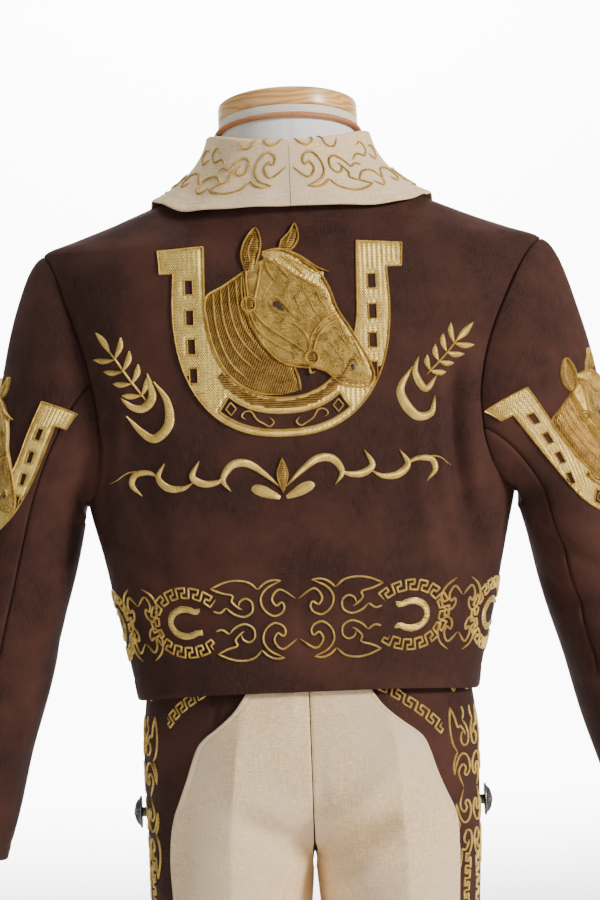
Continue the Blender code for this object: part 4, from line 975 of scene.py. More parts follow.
LOOPS = {side: armhole_loop(side) for side in (1, -1)}


def loop_at(side, which, angle):
    turn = np.mod(angle, 2 * math.pi)
    angles, table = LOOPS[side][0], LOOPS[side][which]
    return np.stack([np.interp(turn, angles, table[:, k]) for k in range(3)], -1)


def cap_places(side, angle, part):
    start = loop_at(side, 1, angle)
    end = arm_places(side, 0 * angle, angle)
    chord = np.linalg.norm(end - start, axis=-1, keepdims=True)
    turn = np.cos(angle)
    leave = np.stack([side * (0.5 - 0.275 * turn + 0.125 * turn ** 2), -0.22 * np.sin(angle),
                      -0.40 + 0.02 * turn + 0.32 * turn ** 2], -1) * chord
    arrive = np.array([side * math.sin(ARM_TILT), 0, -math.cos(ARM_TILT)]) * chord * 1.05
    p = part[..., None]
    return (start * (2 * p ** 3 - 3 * p ** 2 + 1) + leave * (p ** 3 - 2 * p ** 2 + p)
            + end * (3 * p ** 2 - 2 * p ** 3) + arrive * (p ** 3 - p ** 2))


CAP_SCALE = 0.171        # the sleeve head's mean length, so that one number runs down the whole sleeve


def sleeve_places(side, run, angle):
    """Sleeve outside: run is the length below the armpit, and less than 0 on the sleeve head."""
    part = np.clip(1 + run / CAP_SCALE, 0, 1)
    return np.where((run < 0)[..., None], cap_places(side, angle, part), arm_places(side, run, angle))


# angle at both ends, run at both ends: fold across or along the sleeve
SLEEVE_FOLDS = {
    1: [(2.6, 0.010, 1.1, 0.060, 0.0070, -0.0030), (2.9, 0.045, 1.3, 0.085, 0.0065, -0.0028),
        (2.2, 0.100, 0.9, 0.118, 0.0070, -0.0026), (2.7, 0.120, 1.0, 0.105, 0.0060, 0.0020),
        (1.0, 0.150, 2.4, 0.165, 0.0070, -0.0022), (0.4, 0.060, 1.6, 0.142, 0.0080, 0.0018),
        (3.6, 0.020, 4.6, 0.070, 0.0080, -0.0026), (3.4, 0.090, 4.9, 0.108, 0.0070, -0.0030),
        (5.4, 0.120, 4.2, 0.140, 0.0070, -0.0024), (0.3, -0.090, 0.9, -0.020, 0.0090, 0.0016),
        (1.5, -0.080, 1.3, 0.010, 0.0070, -0.0020), (0.6, 0.190, 2.0, 0.205, 0.0070, -0.0016)],
    -1: [(2.7, 0.020, 1.0, 0.052, 0.0070, -0.0028), (2.4, 0.070, 0.7, 0.095, 0.0065, -0.0024),
         (2.8, 0.110, 1.2, 0.130, 0.0070, -0.0026), (2.0, 0.090, 0.6, 0.122, 0.0060, 0.0018),
         (1.2, 0.170, 2.5, 0.180, 0.0070, -0.0020), (3.5, 0.030, 4.7, 0.060, 0.0080, -0.0026),
         (3.3, 0.080, 4.8, 0.115, 0.0070, -0.0028), (5.2, 0.130, 4.1, 0.150, 0.0070, -0.0022),
         (0.5, -0.080, 1.1, -0.010, 0.0090, 0.0014), (1.7, -0.060, 1.4, 0.020, 0.0070, -0.0020)],
}
ARM_ROUND = 0.045


def sleeve_lift(side, run, angle):
    table = [(a0 * ARM_ROUND, r0, a1 * ARM_ROUND, r1, wide, tall) for a0, r0, a1, r1, wide, tall
             in SLEEVE_FOLDS[side]]
    turn = np.mod(angle, 2 * math.pi) * ARM_ROUND
    fade = np.clip((run + CAP_SCALE) / 0.020, 0, 1)
    return fade * (folds(turn, run, table) + 0.0012 * np.sin(3 * angle + 40 * run + side)
                   * np.sin(31 * run + side) * np.clip((run + 0.12) / 0.05, 0, 1))


def sleeve_cloth(side, run, angle):
    base = sleeve_places(side, run, angle)
    middle = base.copy()
    middle[..., 0] = side * (ARM_X + np.sin(ARM_TILT) * np.maximum(run, -0.05))
    middle[..., 1] = 0
    middle[..., 2] -= 0.01
    normal = grid_normals(base, base - middle)
    lift = sleeve_lift(side, run, angle)
    cuff = ARM_LENGTH - run
    lift = lift - 0.00040 * np.exp(-((cuff - 0.012) / 0.0009) ** 2) + 0.0004 * np.clip(1 - cuff / 0.012, 0, 1)
    return base + normal * lift[..., None], normal


def seam_turn(side, behind, height):
    """Angle round the arm of the armhole's edge at a height."""
    angles, places = LOOPS[side][0], LOOPS[side][1]
    half = len(angles) // 2 + 1
    part = slice(0, half) if behind else slice(half - 1, None)
    order = np.argsort(places[part, 2])
    return float(np.interp(height, places[part, 2][order], angles[part][order]))


BACK_SEAM = {1: 0.010, -1: 0.048}
FRONT_SEAM = 0.029
sleeve_runs = np.concatenate([CAP_SCALE * (np.linspace(0, 1, 56) ** 1.25 - 1), np.linspace(0.003, 0.2342, 84),
                              [ARM_LENGTH]])
for side, word in ((1, "right"), (-1, "left")):
    back_turn = seam_turn(side, True, BACK_SEAM[side])
    front_turn = seam_turn(side, False, FRONT_SEAM)
    for kind, first, last, columns in (("upper", front_turn - 2 * math.pi, back_turn, 96),
                                       ("under", back_turn, front_turn, 72)):
        turns = with_edges(first + 0.004, last - 0.004, columns, 0.0010, 0.16)
        run, turn = np.meshgrid(sleeve_runs, turns, indexing="ij")
        outer, normal = sleeve_cloth(side, run, turn)
        body_normal = loop_at(side, 3, turns)
        inward = loop_at(side, 2, turns)
        start = loop_at(side, 1, turns)
        tuck = [start + inward * 0.0045 - body_normal * 0.0036, start - body_normal * 0.0034,
                start - body_normal * 0.0016]
        normal[0] = unit(normal[0] + body_normal)
        outer[0] = outer[0] - normal[0] * 0.0006
        outer = edge_fade(np.concatenate([np.array(tuck), outer]),
                          np.concatenate([np.array([body_normal, unit(body_normal * 0.6 + normal[0]),
                                                    normal[0]]),
                                          normal]))
        normal = np.concatenate([np.array([body_normal, unit(body_normal * 0.6 + normal[0]), normal[0]]),
                                 normal])
        piece = sheet_piece(f"sleeve_{kind}_piece_{word}", outer, normal, JACKET_CLOTH, brown)
        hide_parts(f"sleeve_{kind}_{word}")
        declare(outer)

# ------------------------------------------------------------------ collar
# A cream linen shawl collar in two halves joined at the centre back. Each half stands at the neck, rolls
# over, spreads out over the shoulder and runs down the front as a long lapel.
COLLAR_CLOTH = 0.0016
FOLD_ROUND = 0.0026
COLLAR = [  # foot x y z, fold x y z, edge x y z, lie
    (0.000, -0.0520, 0.185, 0.0000, -0.0560, 0.2050, 0.0000, -0.0640, 0.1610, 0.0),
    (0.014, -0.0508, 0.185, 0.0140, -0.0550, 0.2056, 0.0250, -0.0632, 0.1610, 0.0),
    (0.029, -0.0460, 0.185, 0.0300, -0.0500, 0.2075, 0.0520, -0.0580, 0.1612, 0.0),
    (0.043, -0.0370, 0.185, 0.0430, -0.0390, 0.2100, 0.0730, -0.0480, 0.1625, 0.0),
    (0.0530, -0.0240, 0.185, 0.0505, -0.0235, 0.2120, 0.0870, -0.0310, 0.1675, 0.0),
    (0.0580, -0.0080, 0.185, 0.0530, -0.0060, 0.2125, 0.0930, -0.0085, 0.1710, 0.0),
    (0.0580, 0.0090, 0.185, 0.0530, 0.0110, 0.2105, 0.0960, 0.0150, 0.1685, 0.0),
    (0.0540, 0.0210, 0.185, 0.0500, 0.0280, 0.2040, 0.0980, 0.0395, 0.1560, 0.0),
    (0.0500, 0.0320, 0.182, 0.0465, 0.0440, 0.1900, 0.0985, 0.0525, 0.1400, 0.3),
    (0.0450, 0.0500, 0.158, 0.0430, 0.0550, 0.1660, 0.0955, 0.0610, 0.1175, 0.8),
    (0.0400, 0.0570, 0.132, 0.0380, 0.0610, 0.1340, 0.0900, 0.0680, 0.0890, 1.0),
    (0.0345, 0.0680, 0.100, 0.0325, 0.0720, 0.1010, 0.0790, 0.0750, 0.0600, 1.0),
    (0.0275, 0.0760, 0.064, 0.0255, 0.0800, 0.0640, 0.0655, 0.0810, 0.0300, 1.0),
    (0.0215, 0.0820, 0.030, 0.0195, 0.0850, 0.0300, 0.0500, 0.0850, 0.0020, 1.0),
    (0.0165, 0.0850, -0.002, 0.0145, 0.0880, -0.0020, 0.0330, 0.0870, -0.0230, 1.0),
    (0.0135, 0.0860, -0.030, 0.0115, 0.0890, -0.0300, 0.0180, 0.0880, -0.0400, 1.0),
]
STAND_PART, FALL_PART = 0.22, 0.40


def front_depth(across, height):
    share = np.clip(across / BODY[0](height), 0, 1)
    return jacket_places(height, -np.arccos(power(share, BODY[3](height) / 2)))[..., 1]


def collar_places(station, along_edge):
    """Right collar half: up the stand, over the fold and down the fall, 0 to 1."""
    table = np.array(COLLAR)
    row = np.clip(station, 0, len(COLLAR) - 1)
    first = np.minimum(row.astype(int), len(COLLAR) - 2)
    p = (row - first)[..., None]
    a, b = table[np.maximum(first - 1, 0)], table[first]
    c, d = table[first + 1], table[np.minimum(first + 2, len(COLLAR) - 1)]
    mixed = 0.5 * (2 * b + (c - a) * p + (2 * a - 5 * b + 4 * c - d) * p ** 2 + (3 * b - a - 3 * c + d) * p ** 3)
    foot, fold, edge = mixed[..., 0:3].copy(), mixed[..., 3:6].copy(), mixed[..., 6:9]
    lie = np.clip(mixed[..., 9], 0, 1)
    rest = front_depth(foot[..., 0], foot[..., 2]) + 2 * LAY
    foot[..., 1] += (rest - foot[..., 1]) * lie
    fold[..., 1] += (rest + COLLAR_CLOTH + FOLD_ROUND - fold[..., 1]) * lie
    away = np.stack([(edge[..., 0] - foot[..., 0]) * (1 - lie) + (edge[..., 0] - fold[..., 0]) * lie,
                     (edge[..., 1] - foot[..., 1]) * (1 - lie) - 1e-6, 0 * lie], -1)
    away = unit(away)
    up = unit(np.stack([0 * lie, lie, 1 - lie], -1))
    s = along_edge[..., None]
    lie = lie[..., None]
    stand = foot + (fold - (away + up) * FOLD_ROUND - foot) * np.clip(s / STAND_PART, 0, 1)
    turn = math.pi * np.clip((s - STAND_PART) / (FALL_PART - STAND_PART), 0, 1)
    roll = fold - up * FOLD_ROUND - away * FOLD_ROUND * np.cos(turn) + up * FOLD_ROUND * np.sin(turn)
    share = np.clip((s - FALL_PART) / (1 - FALL_PART), 0, 1)
    begin = fold - up * FOLD_ROUND + away * FOLD_ROUND
    knee = begin + (edge - begin) * np.array([0.18, 0.30, 0.62])
    fall = begin * (1 - share) ** 2 + knee * 2 * share * (1 - share) + edge * share ** 2
    flat = begin + (edge - begin) * share
    on_front = front_depth(flat[..., 0], flat[..., 2]) + COLLAR_CLOTH + 2 * LAY
    flat[..., 1] = np.where(lie[..., 0] > 0, on_front, flat[..., 1])
    fall = fall + (flat - fall) * lie
    return np.where(s <= STAND_PART, stand, np.where(s < FALL_PART, roll, fall))


def collar_cloth(side, station, along_edge, quiet=False):
    base = collar_places(station, along_edge)
    normal = unit(np.cross(np.gradient(base, axis=1), np.gradient(base, axis=0)))
    normal = -normal if np.sum(normal[:, -1, 2] * 1.0) < 0 else normal
    share = np.clip((along_edge - FALL_PART) / (1 - FALL_PART), 0, 1)
    wave = 0.0010 * np.sin(station * 2.1 + side) * share + 0.0007 * np.sin(station * 4.3 + 2 * side) * share
    wave = wave * (1 - np.exp(-(station / 0.5) ** 2))
    if not quiet:
        width = np.linalg.norm(np.diff(base, axis=1, prepend=base[:, :1]), axis=-1).cumsum(axis=1)
        from_edge = width[:, -1:] - width
        wave = wave - 0.0004 * np.exp(-((from_edge - 0.0085) / 0.0007) ** 2)
        wave = wave + 0.0003 * np.exp(-((from_edge - 0.003) / 0.003) ** 2)
    base = base + normal * wave[..., None]
    base[..., 0] = np.maximum(base[..., 0], SEAM)
    mirror = np.array([side, 1, 1])
    normal = normal.copy()
    normal[0, :, 0] = 0
    return base * mirror, unit(normal) * mirror


collar_stations = np.concatenate([[0.0, 0.02], np.linspace(0.1, 14.9, 150), [14.97, 15.0]])
collar_parts = np.concatenate([np.linspace(0, STAND_PART, 9)[:-1],
                               np.linspace(STAND_PART, FALL_PART, 12)[:-1],
                               np.linspace(FALL_PART, 0.985, 44), [0.994, 1.0]])
collar_surface = {}
for side, word in ((1, "right"), (-1, "left")):
    station, part = np.meshgrid(collar_stations, collar_parts, indexing="ij")
    outer, normal = collar_cloth(side, station, part)
    collar_surface[side] = (outer, normal)
    piece = sheet_piece(f"shawl_collar_{word}", outer, normal, COLLAR_CLOTH, cream)
    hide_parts(f"collar_{word}")
    declare(outer)

# ------------------------------------------------------------------ gold embroidery
# Raised machine embroidery in gold thread: satin-stitch strokes, and fields of zigzag and seed stitch.
# Each motif is drawn flat, in millimetres, and then laid on the cloth that it is sewn to.
# The Glint output is painted light: fine and patchy noise for painted glints, plus the stitch rows, lighter on their
# tops and darker in painted shade between them. It sets the thread's colour as well as its relief.
gold_stitch_and_glint, stitch_in, stitch_out = new_group(
    "stitch_rows_and_painted_glint",
    [("Rows", "NodeSocketFloat", 700.0), ("Seed", "NodeSocketFloat", 0.0),
     ("Zigzag", "NodeSocketFloat", 0.0)],
    [("Height", "NodeSocketFloat"), ("Glint", "NodeSocketFloat")])
stitch_uv = add(gold_stitch_and_glint, "ShaderNodeUVMap", uv_map="cloth").outputs[0]
stitch_split = add(gold_stitch_and_glint, "ShaderNodeSeparateXYZ", {0: stitch_uv})
zig = add(gold_stitch_and_glint, "ShaderNodeMath", {0: stitch_split.outputs[0], 1: 0.0016}, operation="PINGPONG")
zig_part = add(gold_stitch_and_glint, "ShaderNodeMath", {0: zig.outputs[0], 1: stitch_in.outputs["Zigzag"],
                                               2: stitch_split.outputs[1]}, operation="MULTIPLY_ADD")
stitch_lines = add(gold_stitch_and_glint, "ShaderNodeMath", {0: zig_part.outputs[0], 1: stitch_in.outputs["Rows"]},
                   operation="MULTIPLY")
stitch_sine = add(gold_stitch_and_glint, "ShaderNodeMath", {0: stitch_lines.outputs[0]}, operation="SINE")
stitch_noise = add(gold_stitch_and_glint, "ShaderNodeTexNoise",
                   {"Vector": add(gold_stitch_and_glint, "ShaderNodeTexCoord").outputs["Object"], "Scale": 1500.0,
                    "Detail": 2.0})
painted_glint_patch = add(gold_stitch_and_glint, "ShaderNodeTexNoise",
                   {"Vector": add(gold_stitch_and_glint, "ShaderNodeTexCoord").outputs["Object"], "Scale": 160.0,
                    "Detail": 2.0})
stitch_half = add(gold_stitch_and_glint, "ShaderNodeMath", {0: stitch_sine.outputs[0], 1: 0.5, 2: 0.5},
                  operation="MULTIPLY_ADD")
stitch_seed = add(gold_stitch_and_glint, "ShaderNodeMix", {0: stitch_in.outputs["Seed"], 2: stitch_half.outputs[0],
                                                 3: stitch_noise.outputs["Fac"]}, data_type="FLOAT")
glint_sum = add(gold_stitch_and_glint, "ShaderNodeMath", {0: stitch_noise.outputs["Fac"], 1: stitch_seed.outputs[0]},
                operation="ADD")
glint_all = add(gold_stitch_and_glint, "ShaderNodeMath", {0: painted_glint_patch.outputs["Fac"], 1: 0.7,
                                                2: glint_sum.outputs[0]},
                operation="MULTIPLY_ADD")
gold_stitch_and_glint.links.new(stitch_seed.outputs[0], stitch_out.inputs["Height"])
gold_stitch_and_glint.links.new(glint_all.outputs[0], stitch_out.inputs["Glint"])


def gold_finish(name, dark, middle, bright, rows, seed, zigzag, metallic=0.6):
    made, tree, shader = new_finish(name, middle, 0.40, metallic)
    shader.inputs["Specular IOR Level"].default_value = 0.3
    group = add(tree, "ShaderNodeGroup", node_tree=gold_stitch_and_glint)
    for key, value in (("Rows", rows), ("Seed", seed), ("Zigzag", zigzag)):
        group.inputs[key].default_value = value
    # Base colour follows Glint: the dark end is painted shade between stitches, the middle is the thread's own colour,
    # and the bright end is painted glints.
    ramp = add(tree, "ShaderNodeValToRGB")
    share = add(tree, "ShaderNodeMapRange", {"Value": group.outputs["Glint"], "From Min": 0.62,
                                             "From Max": 1.72})
    tree.links.new(share.outputs[0], ramp.inputs[0])
    ramp.color_ramp.elements[0].color = (*dark, 1)
    ramp.color_ramp.elements[1].color = (*bright, 1)
    ramp.color_ramp.elements.new(0.5).color = (*middle, 1)
    tree.links.new(ramp.outputs[0], shader.inputs["Base Color"])
    bump = add(tree, "ShaderNodeBump", {"Height": group.outputs["Height"], "Strength": 0.7,
                                        "Distance": 0.0004})
    tree.links.new(bump.outputs[0], shader.inputs["Normal"])
    return made


# Each kind of thread: painted shade colour, the thread's own colour, painted glint colour, then stitch rows, seed share
# and zigzag.
GOLD = {
    "satin": gold_finish("gold_satin", (0.085, 0.034, 0.003), (0.44, 0.235, 0.028), (1.0, 0.76, 0.24), 7000,
                         0.35, 0.0),
    "zigzag": gold_finish("gold_zigzag", (0.11, 0.050, 0.005), (0.46, 0.265, 0.038), (1.0, 0.78, 0.26), 3300,
                          0.15, 1.6),
    "seed": gold_finish("gold_seed", (0.028, 0.012, 0.002), (0.20, 0.105, 0.014), (0.82, 0.56, 0.15), 5200,
                        0.75, 0.3),
    "dark": gold_finish("gold_dark", (0.024, 0.008, 0.001), (0.11, 0.045, 0.006), (0.44, 0.26, 0.06), 4200,
                        0.5, 0.0),
    "ivory": gold_finish("ivory_thread", (0.80, 0.74, 0.64), (0.96, 0.93, 0.86), (1.0, 0.98, 0.94), 7000,
                         0.35, 0.0, 0.0),
    "line": gold_finish("gold_line", (0.040, 0.016, 0.002), (0.24, 0.125, 0.016), (0.86, 0.58, 0.16), 7000,
                        0.35, 0.0),
}


class Stitches:
    """A motif in flat millimetres, gathered by kind of stitch before it is laid on the cloth."""

    def __init__(self):
        self.points = {kind: [] for kind in GOLD}
        self.faces = {kind: [] for kind in GOLD}
        self.flat = {kind: [] for kind in GOLD}

    def put(self, kind, points, faces, flat):
        start = len(self.points[kind])
        self.points[kind] += [tuple(point) for point in points]
        self.faces[kind] += [tuple(start + k for k in face) for face in faces]
        self.flat[kind] += [tuple(pair) for pair in flat]


def smooth_path(points, step=0.9, closed=False):
    """A smooth curve through points, as evenly spaced places."""
    points = np.array(points, float)
    if len(points) == 2:
        count = max(int(np.linalg.norm(points[1] - points[0]) / step), 2)
        return points[0] + (points[1] - points[0]) * np.linspace(0, 1, count + 1)[:, None]
    ring = np.vstack([points[-1], points, points[0], points[1]]) if closed else \
        np.vstack([2 * points[0] - points[1], points, 2 * points[-1] - points[-2]])
    places = []
    for a, b, c, d in zip(ring[:-3], ring[1:-2], ring[2:-1], ring[3:]):
        count = max(int(np.linalg.norm(c - b) / step), 1)
        for p in np.arange(count) / count:
            places.append(0.5 * (2 * b + (c - a) * p + (2 * a - 5 * b + 4 * c - d) * p * p
                                 + (3 * b - a - 3 * c + d) * p ** 3))
    if not closed:
        places.append(points[-1])
    return np.array(places)


ROPE = ((-1.0, -0.35), (-0.70, 0.62), (0.0, 1.0), (0.70, 0.62), (1.0, -0.35))


def stroke(work, points, width=1.5, kind="satin", tall=0.8, taper=0.12, sharp=False, step=0.9):
    """A satin-stitch line: full width for most of its length, narrowed towards both ends."""
    path = np.array(points, float) if sharp else smooth_path(points, step)
    if sharp:
        path = np.vstack([smooth_path(pair, step)[:-1] for pair in zip(path[:-1], path[1:])] + [path[-1:]])
    run = np.concatenate([[0], np.linalg.norm(np.diff(path, axis=0), axis=1).cumsum()])
    share = run / run[-1]
    ends = np.clip(np.minimum(share, 1 - share) / max(taper, 1e-6), 0,
                   1) ** 0.7 if taper else np.ones(len(share))
    half = width / 2 * (0.16 + 0.84 * ends)
    lay_stroke(work, path, run, half, kind, tall)


def lay_stroke(work, path, run, half, kind, tall):
    ahead = unit(np.gradient(path, axis=0))
    side = np.stack([-ahead[:, 1], ahead[:, 0]], -1)
    places, flat, faces = [], [], []
    for k in range(len(path)):
        for across, up in ROPE:
            spot = path[k] + side[k] * across * half[k]
            places.append((spot[0], spot[1], 0.25 + up * tall * min(1.0, 0.35 + half[k])))
            flat.append((across * half[k] * MM, run[k] * MM))
    for k in range(len(path) - 1):
        for j in range(4):
            a, b = k * 5 + j, (k + 1) * 5 + j
            faces.append((a, a + 1, b + 1, b))
    work.put(kind, places, faces, flat)


def crescent(work, points, widest, kind="satin", lean=0.5, tall=1.0):
    """A stroke that swells to its widest and runs out to two points."""
    path = smooth_path(points, 0.8)
    run = np.concatenate([[0], np.linalg.norm(np.diff(path, axis=0), axis=1).cumsum()])
    share = run / run[-1]
    bent = np.where(share < lean, 0.5 * share / lean, 0.5 + 0.5 * (share - lean) / (1 - lean))
    lay_stroke(work, path, run, widest / 2 * (0.08 + 0.92 * np.sin(math.pi * bent) ** 0.9), kind, tall)


def field(work, outline, kind, holes=(), grain=0.0, tall=0.8, pitch=2.6, closed=True, rim=0.9):
    """A filled shape, domed a little at its rim, with its stitches laid along the grain direction."""
    edges = [smooth_path(outline, 1.6, True) if closed else
             np.vstack([smooth_path(pair, 1.6)[:-1] for pair in zip(outline, outline[1:] + outline[:1])])]
    edges += [np.vstack([smooth_path(pair, 1.6)[:-1] for pair in zip(hole,
        hole[1:] + hole[:1])]) for hole in holes]
    spots, links, outlines = [], [], []
    for loop in edges:
        start = len(spots)
        spots += [tuple(spot) for spot in loop]
        ring = [start + k for k in range(len(loop))]
        links += list(zip(ring, ring[1:] + ring[:1]))
        outlines.append((loop, np.roll(loop, -1, axis=0)))

    def inside_of(spots_to_test):
        counted = np.zeros(len(spots_to_test), int)
        nearest = np.full(len(spots_to_test), 1e9)
        for a, b in outlines:
            for p, q in zip(a, b):
                straddles = (p[1] > spots_to_test[:, 1]) != (q[1] > spots_to_test[:, 1])
                level = p[0] + (spots_to_test[:, 1] - p[1]) * (q[0] - p[0]) / (q[1] - p[1] + 1e-12)
                counted += straddles & (spots_to_test[:, 0] < level)
                run = q - p
                t = np.clip(((spots_to_test - p) @ run) / (run @ run + 1e-12), 0, 1)
                nearest = np.minimum(nearest, np.linalg.norm(spots_to_test - (p + t[:, None] * run), axis=1))
        return counted % 2 == 1, nearest

    low, high = edges[0].min(axis=0), edges[0].max(axis=0)
    trial = []
    for row, v in enumerate(np.arange(low[1], high[1], pitch * 0.87)):
        for u in np.arange(low[0] + (row % 2) * pitch / 2, high[0], pitch):
            trial.append((u, v))
    trial = np.array(trial)
    held, near = inside_of(trial)
    spots += [tuple(spot) for spot in trial[held & (near > 0.8)]]
    made = delaunay_2d_cdt([Vector(spot) for spot in spots], links, [], 0, 1e-5)
    corners = np.array([(v.x, v.y) for v in made[0]])
    triangles = [tuple(face) for face in made[2]]
    middles = np.array([corners[list(face)].mean(axis=0) for face in triangles])
    keep, _ = inside_of(middles)
    _, near = inside_of(corners)
    rise = np.where(near < 0.05, 0.0, tall * np.clip(0.55 + 0.45 * near / rim, 0, 1))
    turn = np.array([[math.cos(grain), math.sin(grain)], [-math.sin(grain), math.cos(grain)]])
    flat = corners @ turn.T * MM
    faces = [face for face, use in zip(triangles, keep) if use]
    faces = [face if np.cross(corners[face[1]] - corners[face[0]], corners[face[2]] - corners[face[0]]) > 0
             else face[::-1] for face in faces]
    work.put(kind, [(c[0], c[1], r - 0.05) for c, r in zip(corners, rise)], faces, flat)


def lay(work, name, surface, flip=False):
    """Lays a motif on cloth: surface gives a point and a normal for flat places in metres."""
    made = []
    for kind, finish in GOLD.items():
        if not work.points[kind]:
            continue
        flat = np.array(work.points[kind]) * MM
        place, normal = surface(flat[:, 0], flat[:, 1])
        places = place + normal * flat[:, 2:3]
        places[:, 2] += BLADE
        faces = [face[::-1] for face in work.faces[kind]] if flip else work.faces[kind]
        made.append(mesh_piece(f"{name}_{kind}", places, faces, work.flat[kind], finish, 60))
    return made


# The back's great horseshoe with a horse's head in it: shoe, then head, mane and bridle.
SHOE_X, SHOE_Z = -9.0, 98.5
SHOE_TOP = 136.0


def shoe_curve(wide, deep, square, count=44):
    turns = np.linspace(math.pi, 2 * math.pi, count)
    return [(SHOE_X + wide * float(power(math.cos(t), 2 / square)),
             SHOE_Z + deep * float(power(math.sin(t), 2 / square)))
            for t in turns]


def shoe_between(turn, share):
    """A place between the outer (0) and inner (1) curve of the shoe, at an angle from its bottom."""
    t = 1.5 * math.pi + turn
    outer = (71.0 * float(power(math.cos(t), 2 / 2.4)), 89.0 * float(power(math.sin(t), 2 / 2.4)))
    inner = (50.0 * float(power(math.cos(t), 2 / 2.2)), 64.0 * float(power(math.sin(t), 2 / 2.2)))
    return (SHOE_X + outer[0] + (inner[0] - outer[0]) * share,
            SHOE_Z + outer[1] + (inner[1] - outer[1]) * share)


def draw_horseshoe(work):
    outer, inner = shoe_curve(71.0, 89.0, 2.4), shoe_curve(50.0, 64.0, 2.2)[::-1]
    left, right = SHOE_X - 71.0, SHOE_X + 71.0
    outline = ([(left + 21, SHOE_TOP), (left - 9, SHOE_TOP - 2), (left - 8, SHOE_TOP - 17),
                (left + 1, SHOE_TOP - 17)]
               + outer + [(right - 1, SHOE_TOP - 17), (right + 9, SHOE_TOP - 17), (right + 10, SHOE_TOP - 2),
                          (right - 20, SHOE_TOP)] + inner)
    holes = []
    for side in (-1, 1):
        for height in (SHOE_TOP - 27, SHOE_TOP - 47, SHOE_TOP - 66, SHOE_TOP - 85):
            lean = 0.02 * max(0.0, SHOE_TOP - 40 - height) ** 1.1
            x = SHOE_X + side * (60.0 - lean)
            holes.append([(x - 2.7, height - 5), (x + 2.7, height - 5), (x + 2.7, height + 5),
                          (x - 2.7, height + 5)])
    banner = [shoe_between(t, 0.16) for t in np.linspace(-0.62, 0.62, 22)]
    banner += [shoe_between(t, 0.60) for t in np.linspace(0.62, -0.62, 22)]
    field(work, outline, "zigzag", holes + [banner], closed=False, tall=0.9)
    stroke(work, outline + outline[:1], 1.3, "satin", 1.2, 0, sharp=True)
    for hole in holes:
        stroke(work, hole + hole[:1], 0.9, "satin", 1.1, 0, sharp=True)
    stroke(work, banner + banner[:1], 1.4, "satin", 1.2, 0, sharp=True)
    shade = [shoe_between(t, 0.68) for t in np.linspace(-0.86, 1.02, 30)]
    shade += [shoe_between(t, 0.97) for t in np.linspace(1.02, -0.86, 30)]
    field(work, shade, "dark", closed=False, tall=1.7)
    for x in (-57.0, 57.0):
        stroke(work, [(SHOE_X + x * 0.97 - 4, 38), (SHOE_X + x * 0.97 + 4, 40)], 1.0, "satin", 1.3)
    for side in (-1, 1):
        middle = [shoe_between(side * t, 0.38) for t in (0.10, 0.24, 0.36)]
        (ax, az), (bx, bz), (cx, cz) = middle
        stroke(work, [(ax + side * 1.0, az + 2.4), (ax - side * 1.5, az - 0.5), (ax + side * 1.5, az - 3.2),
                      (ax + side * 5, az - 1.4), (bx, bz), (cx - side * 4, cz + 2.6),
                      (cx + side * 0.4, cz + 2.8),
                      (cx + side * 2.4, cz - 0.2), (cx - side * 0.4, cz - 2.2)], 1.2, "satin", 0.9)
        dx, dz = shoe_between(side * 0.53, 0.38)
        stroke(work, [(dx, dz + 4.2), (dx + 3.4, dz), (dx, dz - 4.2), (dx - 3.4, dz), (dx, dz + 4.2)], 1.0,
               "satin",
               0.9, 0, sharp=True)


HEAD_X, HEAD_Z = -10.0, 75.0


